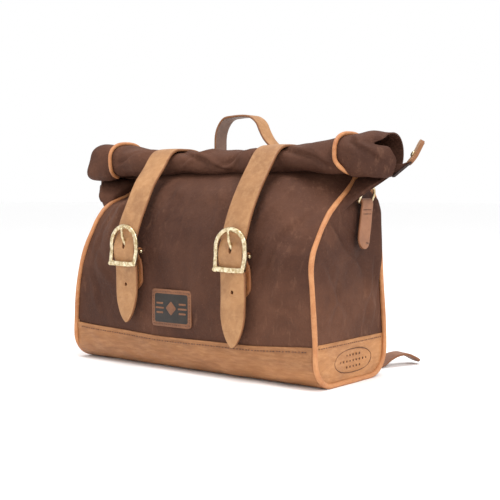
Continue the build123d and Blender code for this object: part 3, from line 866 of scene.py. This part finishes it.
def roll():
    """The top rolled forward. The outer wrap comes from the rear, over the top and down the front."""
    angle = START + np.linspace(0, 1, 190) * TURNS * 2 * pi
    station = np.sin(np.linspace(-1, 1, 190) * pi / 2 * 0.8) / sin(pi / 2 * 0.8)
    turn, share = np.meshgrid(angle, station, indexing="ij")
    x = share * np.where(share > 0, end_edge(turn, True), end_edge(turn, False))
    grid = roll_point(x, turn)
    centre = np.stack([x, np.full_like(x, ROLL_Y), ROLL_Z(abs(x))], axis=-1)
    outward = grid - centre
    outward /= np.linalg.norm(outward, axis=-1)[..., None]
    wrap = (turn - START) / (2 * pi)
    outer = 1 - smoothstep(wrap, 0.92, 1.15)
    start = smoothstep(wrap, 0.0, 0.08)
    middle = 1 - smoothstep(abs(x), 150, 200)
    front = bell(turn, radians(165), 0.8)
    top = bell(turn, radians(95), 0.6)
    push = 1.7 * lumps(grid) + 1.1 * dents(grid) + strap_pinch(x, front)
    # long dents and lumps between the straps
    push += middle * front * (2.5 * bell(x, 62, 12) - 4.2 * bell(x, 30, 13) - 3.4 * bell(x, -30, 17)
                              + 1.8 * bell(x, -2, 10))
    push += middle * top * (-2.4 * bell(x, 20, 30) + 1.4 * bell(x, -30, 26))
    push += pleats(x, turn * ROLL_RADIUS, ROLL_PLEATS)
    # the open right-hand end is pushed in over the notch
    past = smoothstep(x, 214, 246)
    push -= 8.0 * bell(turn, radians(150), 0.22) * past
    push += 1.5 * bell(turn, radians(182), 0.4) * past
    # both ends droop at their lower front
    push += 6.5 * bell(turn, radians(238), 0.5) * smoothstep(abs(x), 150, 215)
    # nothing rises into the straps, and little anywhere else
    cap = np.where(abs(abs(x) - STRAP_X) < 24, 0.6, 3.6 + 4.0 * smoothstep(abs(x), 150, 200))
    push = np.minimum(push, cap)
    by_welt = bell(abs(x), WELT_X, 9)
    push = push * (1 - 0.85 * by_welt) - 0.4 * by_welt
    grid += outward * (push * outer * start)[..., None]
    # inner wraps sag away from the outer one near the open ends
    inner = smoothstep(wrap, 1.0, 1.3) * smoothstep(abs(x), 190, 238)
    grid[..., 2] -= 5.0 * inner * (0.5 + 0.5 * np.sin(turn))
    grid[..., 1] += 4.0 * inner
    surface("rolled_canvas", grid[:, ::-1], CANVAS + 0.1, "waxed_canvas", replaced=("roll_top",))


def roll_welts():
    """Piping that runs over the roll from behind, round its front and under it."""
    for name, side in SIDES:
        angle = np.radians(np.linspace(-48, 246, 30))
        slant = 10.0 if side > 0 else 4.0
        points = [roll_point(np.array(side * (WELT_X + slant * smoothstep(a, 3.3, 4.3))), a, depth=-0.075)
                  for a in angle]
        tube(f"roll_welt_{name}", points, 2.6, "piping_leather", replaced=(f"roll_piping_{name}",))


# ---- piping round the ends ----

def seam_piping():
    """A leather welt along both seams of each end panel and round the base."""
    reach, radius, low = 2.0, 33.0, 3.0
    for name, side in SIDES:
        heights = [*range(258, 198, -5), 190, 181, 172, 158, 140, 115, 90, 60]
        front = [(side * (seam_x(z) + reach), float(seam_y(side, z)) - 0.6, z) for z in heights]
        corner = [(side * (HALF_WIDTH + reach), -HALF_DEPTH + radius - radius * cos(a) - 0.6,
                   low + radius - radius * sin(a)) for a in np.radians((0, 22, 45, 68, 90))]
        back = [(x, -y, z) for x, y, z in reversed(corner)]
        levels = (60, 100, 150, 200, 216, 228, 240)
        rear = [(side * (seam_x(z) + reach), REAR_Y(z) + 0.6, z) for z in levels]
        middle = [(side * (HALF_WIDTH + reach), y, low) for y in (-24, 0, 24)]
        tube(f"seam_piping_{name}", front + corner + middle + back + rear, 3.1, "piping_leather",
             swell=lambda t: 1 + 0.05 * sin(60 * t), replaced=(f"piping_{name}",))


def lining():
    """The lining, a plain bag inside the canvas, open at the neck."""
    heights = np.concatenate([np.linspace(9, 40, 8), np.linspace(60, 226, 16)])
    turns = np.linspace(0, 2 * pi, 97)
    across = np.sign(np.cos(turns)) * abs(np.cos(turns)) ** 0.25
    deep = np.sign(np.sin(turns)) * abs(np.sin(turns)) ** 0.4
    gap = 8.0
    rows = []
    for z in heights:
        # its lower edges are rounded as the base is
        past = max(0.0, CORNER + gap - z)
        inset = gap + CORNER - np.sqrt(max(0.0, CORNER ** 2 - past ** 2))
        near = max(SEAM_RIGHT(z), SEAM_LEFT(z)) + inset
        far = REAR_Y(z) - inset
        half = seam_x(z) - gap + 1
        rows.append(np.stack([half * across, (near + far) / 2 + (far - near) / 2 * deep,
                              np.full_like(turns, z)], axis=1))
    surface("inner_lining", np.array(rows), 1.0, "lining_cloth", replaced=("lining",))


# ---- the leather base ----

def base_profile(top):
    """The base wrap seen from the side, from its front top edge, under the bag, to its rear top edge."""
    flat = HALF_DEPTH - CORNER
    quarter = np.linspace(0, pi / 2, 14)
    front = [(-HALF_DEPTH, z) for z in np.linspace(top, CORNER, 12)[:-1]]
    front += [(-flat - CORNER * cos(a), CORNER - CORNER * sin(a)) for a in quarter]
    bottom = [(y, 0.0) for y in np.linspace(-flat, flat, 14)[1:-1]]
    rear = [(flat + CORNER * sin(a), CORNER - CORNER * cos(a)) for a in quarter]
    rear += [(HALF_DEPTH, z) for z in np.linspace(CORNER, BASE_TOP, 12)[1:]]
    return np.array(front + bottom + rear)


base_waves = ripple(23, 48)
base_dents = ripple(29, 20)


def base_edge(x):
    """Height of the base's front top edge, which sags between the ends."""
    return 50.5 - 7.0 * (1 - (x / HALF_WIDTH) ** 2) + 0.5 * np.sin(x / 23.0)


def base_wrap():
    """The leather wrapped under the bag, a little uneven, with a stitched edge at its front and rear."""
    stations = np.linspace(-HALF_WIDTH + 1.0, HALF_WIDTH - 1.0, 170)
    grid = np.array([[(x, y, z) for y, z in base_profile(base_edge(x))] for x in stations])
    centre = np.stack([grid[..., 0], grid[..., 1] * 0.6, np.full(grid.shape[:2], 40.0)], axis=-1)
    outward = grid - centre
    outward[..., 0] = 0
    outward /= np.linalg.norm(outward, axis=-1)[..., None]
    above = smoothstep(grid[..., 2], 1.0, 9.0)
    push = 1.1 + (0.8 * base_waves(grid) + 0.35 * base_dents(grid)) * (1 - smoothstep(grid[..., 2], 34, 46))
    # a long soft crease slants across the lower front
    line = grid[..., 2] - (24 + 0.03 * grid[..., 0] + 5 * np.sin(grid[..., 0] / 70))
    push += (1.3 * np.exp(-(line / 7) ** 2) - 1.0 * np.exp(-((line + 10) / 6) ** 2)) * (grid[..., 1] < 0)
    grid += outward * (np.maximum(push, -0.4) * above)[..., None]
    grid[..., 2] = np.maximum(grid[..., 2], 0.02)
    grid = np.swapaxes(grid, 0, 1)[:, ::-1]
    surface("base_leather_wrap", grid, 2.4, "base_leather", replaced=("base_panel",))
    edge = [(x, -HALF_DEPTH - 2.0, base_edge(x) - 5.0) for x in np.linspace(-190, 190, 40)]
    stitch_row("base_front_stitches", edge, (0, -1, 0), radius=0.5, slot="base_leather")
    edge = [(x, HALF_DEPTH + 2.0, BASE_TOP - 5.0) for x in np.linspace(190, -190, 40)]
    stitch_row("base_rear_stitches", edge, (0, 1, 0), radius=0.5, slot="base_leather")


def patch_dome(y, z):
    """How far the base patch swells, from 0 at its edges to 1."""
    across = np.sqrt(np.clip(1 - (y / 76) ** 4, 0, 1))
    return across * np.clip(1 - abs((z - 27) / 30) ** 4, 0, 1)


def patch_low(y):
    """The lower edge of the base patch, rounded at its front and rear."""
    past = np.clip(abs(y) - (HALF_DEPTH - CORNER), 0, CORNER)
    return CORNER - np.sqrt(CORNER ** 2 - past ** 2)


def base_patch(name, side):
    """The leather patch on an end of the base, slightly domed, with a stitched top edge and a badge."""
    top_edge = BASE_TOP + 1
    share, rise = np.meshgrid(np.sin(np.linspace(-1, 1, 70) * pi / 2), np.linspace(0, 1, 26))
    y = share * (HALF_DEPTH - 0.4)
    low = patch_low(y) + 0.6
    z = low + (top_edge - low) * rise
    grid = np.stack([HALF_WIDTH - 0.6 + 2.6 * patch_dome(y, z), y, z], axis=-1)
    grid[..., 0] += 0.35 * base_waves(grid * 1.6) + 0.2 * base_dents(grid)
    grid[..., 0] *= side
    if side < 0:
        grid = grid[:, ::-1]
    # the patch takes the base leather's paler copy: painted light, the ends lit more than the front
    surface(f"base_end_patch_{name}", grid, 2.2, "base_leather_lit_copy", slot="base_leather",
            replaced=(f"base_patch_{name}",))

    def on_patch(y, z, lift=0.25):
        return (side * (HALF_WIDTH - 0.6 + 2.6 * float(patch_dome(y, z)) + lift), y, z)

    row = [on_patch(y, top_edge - 4.5, 0.5) for y in np.linspace(-68, 68, 24)]
    stitch_row(f"base_patch_stitches_{name}", row, (side, 0, 0), slot="base_leather")
    tooled_badge(name, side, on_patch)


def tooled_badge(name, side, on_patch):
    """A plain tooled ornament: an oval line round three rows of dots."""
    middle_y, middle_z = 4.0, 27.5
    oval = [on_patch(middle_y + 40 * np.sign(cos(a)) * abs(cos(a)) ** 0.8,
                     middle_z + 14 * sin(a), 0.05) for a in np.linspace(0, 2 * pi, 61)]
    tube(f"tooled_line_{name}", oval, 0.55, "badge_line", spacing=2, around=6, closed=True,
         slot="base_leather")
    dots = []
    for row, count in ((-7.0, 5), (0.0, 9), (7.0, 5)):
        dots += [(middle_y + (k - (count - 1) / 2) * 7.0, middle_z + row) for k in range(count)]
    around = 8
    vertices, faces = [], []
    for y, z in dots:
        first = len(vertices)
        vertices.append(on_patch(y, z, 0.75))
        for size, lift in ((1.0, 0.55), (1.5, 0.0)):
            vertices += [on_patch(y + size * cos(a), z + size * sin(a), lift)
                         for a in np.arange(around) * 2 * pi / around]
        inner, outer = first + 1, first + 1 + around
        for j in range(around):
            k = (j + 1) % around
            faces.append((first, inner + j, inner + k)[::side])
            faces.append((inner + j, outer + j, outer + k, inner + k)[::side])
        faces.append(tuple(outer + j for j in range(around))[::-side])
    new_piece(f"tooled_dots_{name}", vertices, faces, "badge_line", slot="base_leather")


def rounded_rectangle(width, height, corner, steps):
    """Outline of a rectangle with round corners, about its middle."""
    outline = []
    for quarter, (right, up) in enumerate(((1, 1), (-1, 1), (-1, -1), (1, -1))):
        for a in np.linspace(0, pi / 2, steps) + quarter * pi / 2:
            outline.append((right * (width / 2 - corner) + corner * cos(a),
                            up * (height / 2 - corner) + corner * sin(a)))
    return np.array(outline)


def plate(name, middle, width, height, back, depth, material, corner, turn=0.0, replaced=()):
    """A flat leather plate on the front, whose face is a little uneven. Its back is at a Y."""
    outline = rounded_rectangle(width, height, min(corner, width / 2, height / 2), 6)
    wave = 0.4 * np.sin(outline[:, 0] / 9 + outline[:, 1] / 7)
    bevel = 0.4
    points = []
    for shrink, out in ((0, 0), (0, depth - bevel), (bevel, depth)):
        across, up = (outline * (1 - 2 * shrink / np.array((width, height)))).T
        x = middle[0] + across * cos(turn) - up * sin(turn)
        z = middle[2] + across * sin(turn) + up * cos(turn)
        y = back - out - (0.15 * wave if out else 0 * wave)
        points.append(np.stack([x, y, z], axis=1))
    count = len(outline)
    faces = [face[::-1] for face in tube_faces(len(points), count)]
    new_piece(name, np.concatenate(points), faces, material, slot="patch_leather", replaced=replaced)


def front_label():
    """A small leather label: a dark field with a plain diamond between short bars."""
    low, high = box_mm("front_patch")
    middle = (low + high) / 2
    width, _, height = high - low
    face = low[1]
    border, inset = 5.5, 3.0
    plate("front_label", middle, width, height, face + 1.6, 1.9, "patch_leather", 5,
          replaced=("front_patch",))
    plate("label_field", middle, width - 2 * border, height - 2 * border, face + 0.6, 1.2, "patch_field", 3)
    plate("label_diamond", middle, 13, 13, face - 0.3, 0.9, "patch_leather", 1.5, turn=pi / 4)
    for side in (-1, 1):
        for lift, length in ((-6, 12), (0, 15), (6, 12)):
            place = middle + (side * 19.5, 0, lift)
            plate(f"label_bar_{lift + 6}_{side + 1}", place, length, 2.4, face - 0.3, 0.8,
                  "patch_leather", 1)
    outline = rounded_rectangle(width - 2 * inset, height - 2 * inset, 3, 4)
    loop = [(middle[0] + across, face - 0.35, middle[2] + up) for across, up in outline]
    stitch_row("label_stitches", loop + loop[:1], (0, -1, 0), pitch=3.6, length=2.4, radius=0.45,
               slot="patch_leather")


# ---- closing straps and their buckles ----

BUCKLE_BAR = joint_mm("buckle_frame_right_hinge")
STRAP_LOW, STRAP_HIGH = box_mm("closing_strap_right")
STRAP_WIDTH = STRAP_HIGH[0] - STRAP_LOW[0]
STRAP_THICKNESS = 3.5
STRAP_FRONT = STRAP_LOW[1] + STRAP_THICKNESS / 2


def strap_normals(points):
    """Outward normals of a strap whose path lies in a plane along Y and Z."""
    tangent = np.gradient(np.array(points, float), axis=0)
    return np.stack([0 * tangent[:, 0], tangent[:, 2], -tangent[:, 1]], axis=1)


def stitch_pair(name, offsets, places, normals, **facts):
    """Rows of stitches side by side along X."""
    for place, offset in enumerate(offsets):
        row = [(x + offset, y, z) for x, y, z in places]
        stitch_row(f"{name}_{place}", row, normals, **facts)


def closing_strap(name, side):
    """From the rear panel, over the roll and down the front, through the buckle to a leaf-shaped tip."""
    x = side * STRAP_X
    low = box_mm(f"closing_strap_{name}")[0][2]
    rear = HALF_DEPTH + 1.9
    route = [
        (x, rear, 131), (x, rear, 160), (x, rear, 200), (x, rear - 2.5, 220), (x, 64, 240), (x, 52.5, 260),
        (x, 47.5, 271.5), (x, 39, 281.8), (x, 26, 285.8), (x, 8, 286.8), (x, -9, 285.4), (x, -22, 278),
        (x, -36, 260.5), (x, -52, 240), (x, -65, 219), (x, -75.5, 199), (x, -81.8, 184), (x, -86.4, 172),
        (x, -90.4, 161), (x, -91.4, 152), (x, -90.1, 144), (x, -88.2, 136), (x, -87.0, 126), (x, -87.0, 105),
        (x, -87.9, 85),
        (x - 0.8, -87.6, low + 12), (x - 1.5, -86.6, low),
    ]
    # the loose tail narrows to its tip, and the whole strap is a little uneven along its length
    piece = strap(
        f"closing_strap_leather_{name}", route, strap_normals(route), STRAP_WIDTH, STRAP_THICKNESS,
        "strap_leather", widths=leaf_tip(45), corner=1.3, wobble=0.3, spacing=3.4, cup=-0.5,
        slot="strap_leather", replaced=(f"closing_strap_{name}",))
    hole_z = BUCKLE_BAR[2] + 7
    pierce(piece, [(x, STRAP_FRONT, hole_z + 2)], (0, 1, 0), 2.5, stretch=2.3)
    plain = [(x, STRAP_FRONT, hole_z - step * 25.0) for step in (1, 2)]
    pierce(piece, plain, (0, 1, 0), 2.0, stretch=1.15)
    pierce(piece, [(x, -82.4, hole_z + 25.0)], (0, 0.95, -0.32), 2.0, stretch=1.15)
    sewn = [(x, rear + 1.9, 150), (x, rear + 1.9, 134)]
    for offset in (-14, 0, 14):
        row = [(px + offset, py, pz) for px, py, pz in sewn]
        stitch_row(f"closing_strap_stitches_{name}_{offset + 14}", row, (0, 1, 0), radius=0.5)


def buckle_band_path(side):
    """The horseshoe of a closing buckle: up one leg, over the arch and down the other."""
    x, bar_z = side * STRAP_X, BUCKLE_BAR[2]
    low, high = box_mm("buckle_frame_right")
    half = (high[0] - low[0]) / 2 - 2.6
    front = low[1] + 2.5
    arch_z = high[2] - half - 2.6
    keeper_z = low[2] + 3.0
    leg = [(half - 1.2, front - 0.6, keeper_z - 0.5), (half - 0.2, front + 1.0, keeper_z + 8),
           (half, front + 2.6, bar_z), (half, front + 2.6, bar_z + 6), (half, front + 2.5, arch_z + 1)]
    arch = [(half * cos(a), front + 2.5 + 0.8 * sin(a), arch_z + 1 + (half - 1) * sin(a))
            for a in np.radians((24, 46, 68, 90, 112, 134, 156))]
    path = leg + arch + [(-px, py, pz) for px, py, pz in reversed(leg)]
    return [(x + px, py, pz) for px, py, pz in path]


def closing_buckle(name, side):
    """A hammered brass horseshoe with a flat keeper bar in front of the strap, and its prong."""
    body = f"buckle_frame_{name}"
    x, bar_y, bar_z = side * STRAP_X, BUCKLE_BAR[1], BUCKLE_BAR[2]
    path = buckle_band_path(side)
    normals = [(0.12 * (px - x) / 22, -1, 0.06) for px, _, _ in path]
    hoop = strap(f"buckle_hoop_{name}", path, normals, 5.8, 4.4, "brass", corner=1.9, wobble=0.15,
                 spacing=1.6, body=body, replaced=(f"buckle_frame_{name}",))
    hammer(hoop, 5 + side)
    low, high = box_mm("buckle_frame_right")
    half = (high[0] - low[0]) / 2
    keeper = [(x - half + 0.2, low[1] + 1.6, low[2] + 3.2), (x - 12, low[1] + 1.2, low[2] + 3.5),
              (x + 8, low[1] + 1.2, low[2] + 2.9), (x + half - 0.2, low[1] + 1.8, low[2] + 3.6)]
    bar = strap(f"buckle_keeper_{name}", keeper, (0, -1, 0), 6.4, 3.4, "brass", corner=1.5, wobble=0.25,
                widths=round_ends(3.2), spacing=1.6, body=body)
    hammer(bar, 9 + side)
    bar_path = [(x + place * (half - 3), bar_y, bar_z) for place in (-1, 0, 1)]
    tube(f"buckle_bar_{name}", bar_path, 2.0, "brass", body=body)
    prong_body = f"buckle_prong_{name}"
    ring = [(x, bar_y + 3.0 * cos(a), bar_z + 3.0 * sin(a)) for a in np.linspace(0, 2 * pi, 17)]
    tip = box_mm("buckle_prong_right")[1][2]
    front = box_mm("buckle_prong_right")[0][1] + 1.9
    tube(f"buckle_prong_ring_{name}", ring, 1.15, "brass", closed=True, spacing=1.2, body=prong_body,
         replaced=(f"buckle_prong_{name}",))
    shank = [(x, bar_y - 3.0, bar_z + 1.5), (x, bar_y - 6.8, bar_z + 7), (x, bar_y - 10.6, bar_z + 13),
             (x, bar_y - 13.4, bar_z + 19), (x, front + 3.4, tip - 7), (x, front + 2.6, tip - 2.5)]
    tube(f"buckle_prong_shank_{name}", shank, 2.1, "brass", spacing=1.5, body=prong_body,
         swell=lambda t: 1 - 0.35 * t ** 3)


def hammer(piece, seed):
    """Small flats and dents of cast, hammered brass."""
    field = ripple(seed, 7, 14)
    mesh = piece.data
    flat = np.empty(len(mesh.vertices) * 3)
    mesh.vertices.foreach_get("co", flat)
    points = flat.reshape(-1, 3)
    normals = np.empty(len(mesh.vertices) * 3)
    mesh.vertices.foreach_get("normal", normals)
    points = points + normals.reshape(-1, 3) * (0.13 * MM * field(points / MM))[:, None]
    mesh.vertices.foreach_set("co", points.ravel())
    mesh.update()


def buckle_chape(name, side):
    """The short strap that holds the buckle, sewn to the front with a round end."""
    x = side * STRAP_X
    bar_y, bar_z = BUCKLE_BAR[1], BUCKLE_BAR[2]
    end_z = box_mm("buckle_chape_right")[0][2]
    face = -HALF_DEPTH - 2.2
    outer = [(x, face, end_z + 0.5), (x, face - 0.2, end_z + 14), (x, face - 1.4, bar_z - 20),
             (x, face - 3.6, bar_z - 10), (x, bar_y - 4.0, bar_z - 3), (x, bar_y - 3.9, bar_z + 1.8),
             (x, bar_y - 0.5, bar_z + 4.0), (x, bar_y + 3.2, bar_z + 2.4)]
    flat = [(px + 1.6, py, pz) for px, py, pz in outer[:4]]
    strap(f"buckle_chape_leather_{name}", flat, strap_normals(flat), 37, 2.8, "dark_leather",
          widths=round_ends(17, stop=False), wobble=0.25, slot="strap_leather",
          replaced=(f"buckle_chape_{name}",))
    # the fold round the bar is slotted for the prong
    for offset in (-11.0, 11.0):
        fold = [(px + 1.0 + offset, py, pz) for px, py, pz in outer[3:]]
        strap(f"buckle_chape_fold_{name}_{int(offset > 0)}", fold, strap_normals(fold), 14.5, 2.8,
              "dark_leather", spacing=1.6, slot="strap_leather")
    sewn = [(x + 1.6, face - 1.6, end_z + 14), (x + 1.6, face - 3.0, bar_z - 16)]
    stitch_pair(f"buckle_chape_stitches_{name}", (-12.5, 12.5), sewn, (0, -1, 0), radius=0.45)


# ---- carry handle ----

HANDLE_HINGE = joint_mm("handle_hinge")


def carry_handle():
    """One strap, sewn down at both ends behind the roll. Its left leg stands and its right leg flares."""
    low, high = box_mm("handle")
    y = (low[1] + high[1]) / 2
    top = high[2] - 3.4
    path = [
        (-30, 65.2, 229.8), (-42, 65.2, 230.0), (-51, 65.4, 233.0), (-56.5, y, 242), (-58, y, 258),
        (-58.5, y, 290), (-58, y, 308), (-53, y, 321), (-43, y, top - 2.0), (-28, y, top), (-8, y, top),
        (4, y, top - 2.5), (14, y, top - 10), (20, y, 311), (27, y, 300), (37, y, 290.5), (47, y, 284),
        (54, y, 275), (57, y, 262), (56.5, y, 246), (52, 65.6, 233.5), (43, 65.2, 230.2), (30, 65.2, 229.8),
    ]
    out = []
    tangent = np.gradient(np.array(path, float), axis=0)
    # the rear panel's slope under the sewn ends
    slope = np.array((0, 0.56, 0.83))
    for point, way in zip(path, tangent):
        facing = np.array((-way[2], 0, way[0]), float)
        facing /= np.linalg.norm(facing)
        sewn = smoothstep(246 - point[2], 0, 14)
        out.append(facing * (1 - sewn) + slope * sewn)
    piece = strap("handle_leather", path, out, 24.5, 3.0, "strap_leather", widths=round_ends(8), wobble=0.25,
                  spacing=2.6, body=None, slot="strap_leather",
                  replaced=("handle", "handle_end_left", "handle_end_right"))
    inner_face(piece)
    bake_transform(piece)
    for name, side in SIDES:
        for step, distance in enumerate((33.0, 46.0)):
            dome(f"handle_rivet_{name}_{step}", (side * distance, 66.4, 232.4), slope, 3.9, 1.8,
                 replaced=(f"handle_rivets_{name}",) if step == 0 else ())
    strip_low, strip_high = box_mm("handle_strip")
    middle = (strip_low + strip_high) / 2
    strip = [middle + (place * 66.5, 0, 0) for place in (-1, 0, 1)]
    strap("handle_strip_leather", strip, slope, 22, 2.0, "strap_leather", widths=round_ends(5), wobble=0.2,
          slot="strap_leather", replaced=("handle_strip",))


def inner_face(piece):
    """The underside of the handle shows the leather's grey-brown flesh side."""
    piece.data.materials.append(MATERIALS["flesh_leather"])
    centre = np.array((-4, 66, 262)) * MM
    for polygon in piece.data.polygons:
        inward = centre - np.array(polygon.center)
        inward[1] = 0
        normal = np.array(polygon.normal)
        faces_in = normal @ (inward / np.linalg.norm(inward)) > 0.35 and abs(normal[1]) < 0.6
        if faces_in and polygon.center.z > 240 * MM:
            polygon.material_index = 1


def dome(name, centre, normal, radius, height, replaced=()):
    """A domed brass rivet head on a surface."""
    normal = np.array(normal, float) / np.linalg.norm(normal)
    side = np.cross(normal, (0.2, 1, 0.1))
    side /= np.linalg.norm(side)
    other = np.cross(normal, side)
    vertices, rings = [], ((1.0, -0.8), (1.0, 0.15), (0.86, 0.55), (0.55, 0.88), (0.2, 1.0))
    around = 18
    for size, lift in rings:
        for turn in np.arange(around) * 2 * pi / around:
            vertices.append(np.array(centre) + normal * height * lift
                            + radius * size * (side * cos(turn) + other * sin(turn)))
    new_piece(name, vertices, tube_faces(len(rings), around), "brass", replaced=replaced)


# ---- D-rings, their tabs, and the strips at the ear tips ----

def ring_tab(name, side):
    """A strap folded over the D-ring's bar and sewn to the end panel, with a rounded lower end."""
    bar_x, bar_y, bar_z = joint_mm("d_ring_right_hinge")
    low, high = box_mm("ring_tab_right")
    face = high[0] - 3.1
    lean = 0.07

    def at(out, z, y=0.0):
        return (side * (face + out + lean * (bar_z - z)), bar_y + y, z)

    outer = [at(0.4, low[2] + 0.5, -12.0), at(0.2, low[2] + 14, -9.0), at(0.0, bar_z - 24, -3.4),
             at(0.4, bar_z - 10, -0.5),
             at(1.6, bar_z - 3), (side * (bar_x + 3.1), bar_y, bar_z),
             (side * (bar_x + 1.4), bar_y, bar_z + 3.2), (side * (bar_x - 1.6), bar_y, bar_z + 3.0),
             (side * (bar_x - 3.0), bar_y, bar_z)]
    tangent = np.gradient(np.array(outer), axis=0)
    normals = np.stack([tangent[:, 2], 0 * tangent[:, 1], -tangent[:, 0]], axis=1)
    strap(f"ring_tab_leather_{name}", outer, normals, 24, 2.9, "tail_leather",
          widths=round_ends(12, stop=False), wobble=0.2, spacing=2.0, slot="strap_leather",
          replaced=(f"ring_tab_{name}",))
    for row, drop in enumerate((9.0, 14.0)):
        points = [at(2.4 if drop < 10 else 2.0, bar_z - drop, y - 1.0) for y in (-9.5, -3, 3, 9.5)]
        stitch_row(f"ring_tab_stitches_{name}_{row}", points, (side, 0, 0.05), pitch=3.8, length=2.8,
                   radius=0.5)


def ear_strip(name, side):
    """Dark webbing and a thick leather tab with a rivet, sewn to the tip of the ear."""
    root = np.array((side * 261.0, 30.0, 262.0))
    across = np.array((-0.62 * side, 0.78, 0.0))
    out = np.array((0.78 * side, 0.62, 0.0)) / np.hypot(0.78, 0.62)
    across /= np.linalg.norm(across)
    up = np.array((0, 0, 1.0))
    lean_web, lean_tab = radians(50), radians(30)
    along = out * sin(lean_web) + up * cos(lean_web)
    facing = np.cross(across, along)
    # the left one is shorter, because the roll hides the rest
    reach = 24.0 if side > 0 else 12.0
    web = [root - along * reach, root - along * reach / 2, root + along * 1.5]
    strap(f"ear_webbing_{name}", web, facing, 20, 2.2, "webbing", corner=0.5, spacing=2.0, slot="webbing",
          replaced=(f"roll_webbing_{name}",))
    along = out * sin(lean_tab) + up * cos(lean_tab)
    facing = np.cross(across, along)
    tab = [root - along * 1.5, root + along * 9 + facing * 0.8, root + along * 20,
           root + along * 31 - facing * 0.6]
    strap(f"ear_tab_{name}", tab, facing, 22, 4.8, "strap_leather", corner=1.2, widths=round_ends(6),
          wobble=0.45, spacing=2.0, slot="strap_leather", replaced=(f"roll_tab_{name}",))
    for face in (-1, 1):
        dome(f"ear_rivet_{name}_{face + 1}", root + along * 12 + facing * face * 2.3, facing * face, 4.0,
             1.7, replaced=(f"roll_rivet_{name}",) if face > 0 else ())
    for offset in (-8.0, 8.0):
        row = [root + along * d + across * offset + facing * 2.5 for d in (2, 14, 28)]
        stitch_row(f"ear_tab_stitches_{name}_{int(offset > 0)}", row, facing, radius=0.45)


# ---- mounting straps at the rear ----

def mounting_strap(name, side):
    """Sewn down the rear panel, it leaves near the base, turns outward and ends in a loose tail."""
    root = joint_mm("mounting_buckle_right_hinge")
    x, rear = side * root[0], HALF_DEPTH + 1.8
    turn = radians(24.0)
    out = np.array((side * sin(turn), cos(turn), 0.0))

    def tail(run, z):
        return tuple(np.array((x, rear, z)) + out * run)

    points = [(x, rear, 164), (x, rear, 140), (x, rear, 105), (x, rear + 0.3, 72),
              (x + side * 0.6, rear + 2.4, 52), tail(7.5, 33), tail(9, 17), tail(17, 6.0), tail(32, 1.9),
              tail(46, 3.6), tail(58, 10.5), tail(70, 14.8), tail(84, 15.0), tail(97, 9.5), tail(108, 3.2)]
    tangent = np.gradient(np.array(points), axis=0)
    # the first four points are sewn flat on the rear panel
    horizontal = np.where(np.arange(len(points))[:, None] < 4, np.array((0, 1.0, 0)), out)
    flat_run = (tangent * horizontal).sum(axis=1)
    normals = horizontal * -tangent[:, 2:3] + np.array((0, 0, 1.0)) * flat_run[:, None]
    strap(f"mounting_strap_leather_{name}", points, normals, 24.5, 3.0, "tail_leather", widths=round_ends(9),
          wobble=0.35, spacing=3.0, slot="strap_leather", replaced=(f"mounting_strap_{name}",))
    sewn = [(x, rear + 1.5, 158), (x, rear + 1.5, 110), (x, rear + 1.7, 80)]
    stitch_pair(f"mounting_strap_stitches_{name}", (-9.5, 9.5), sewn, (0, 1, 0), radius=0.45)


def fold_normals(points, bar_y, bar_z):
    """Normals that point away from the bar a strap is folded round."""
    away = np.array(points, float) - (0, bar_y, bar_z)
    away[:, 0] = 0
    away[:, 2] = np.minimum(away[:, 2], 0.5)
    return away / np.linalg.norm(away, axis=1)[:, None]


def mounting_chape(name, side):
    """The tab that holds the mounting buckle, folded round its bar and sewn to the rear panel."""
    bar_x, bar_y, bar_z = joint_mm("mounting_buckle_right_hinge")
    x = side * bar_x
    top = box_mm("mounting_chape_right")[1][2]
    points = [(x, bar_y - 3.2, bar_z + 1), (x, bar_y - 1.2, bar_z - 3.2), (x, bar_y + 2.0, bar_z - 2.6),
              (x, bar_y + 3.4, bar_z + 0.8), (x, bar_y + 2.0, bar_z + 6), (x, bar_y - 0.6, bar_z + 12),
              (x, bar_y - 1.4, top - 0.6)]
    flat = points[4:]
    strap(f"mounting_chape_leather_{name}", flat, (0, 1, 0), 24.5, 2.3, "strap_leather",
          widths=round_ends(10, start=False), spacing=1.6, slot="strap_leather",
          replaced=(f"mounting_chape_{name}",))
    # the fold round the bar is slotted for the prong
    for offset in (-7.7, 7.7):
        fold = [(px + offset, py, pz) for px, py, pz in points[:6]]
        normals = fold_normals(fold, bar_y, bar_z)
        strap(f"mounting_chape_fold_{name}_{int(offset > 0)}", fold, normals, 8.8, 2.2, "strap_leather",
              spacing=1.4)
    sewn = [(x, bar_y + 1.6, bar_z + 10), (x, bar_y + 0.2, bar_z + 18)]
    stitch_pair(f"mounting_chape_stitches_{name}", (-8.5, 8.5), sewn, (0, 1, 0), radius=0.45)


# ---- the CAD parts whose shape stays ----

def dress_cad_parts():
    """Give the metal and the hidden boards their materials."""
    dressed = {"base_board": "stiffener_board", "rear_stiffener": "stiffener_board"}
    for name, _ in SIDES:
        for node in ("d_ring", "mounting_buckle", "mounting_prong"):
            dressed[f"{node}_{name}"] = "brass"
    for node, material in dressed.items():
        for place in frame["nodes"][node].material_slots:
            place.material = MATERIALS[material]


# ---- everything together ----

make_camera()
make_surroundings()
dress_cad_parts()
front_panel()
rear_panel()
roll()
roll_welts()
seam_piping()
lining()
base_wrap()
front_label()
carry_handle()
for side_name, side_sign in SIDES:
    gusset(side_name, side_sign)
    base_patch(side_name, side_sign)
    closing_strap(side_name, side_sign)
    closing_buckle(side_name, side_sign)
    buckle_chape(side_name, side_sign)
    ring_tab(side_name, side_sign)
    ear_strip(side_name, side_sign)
    mounting_strap(side_name, side_sign)
    mounting_chape(side_name, side_sign)
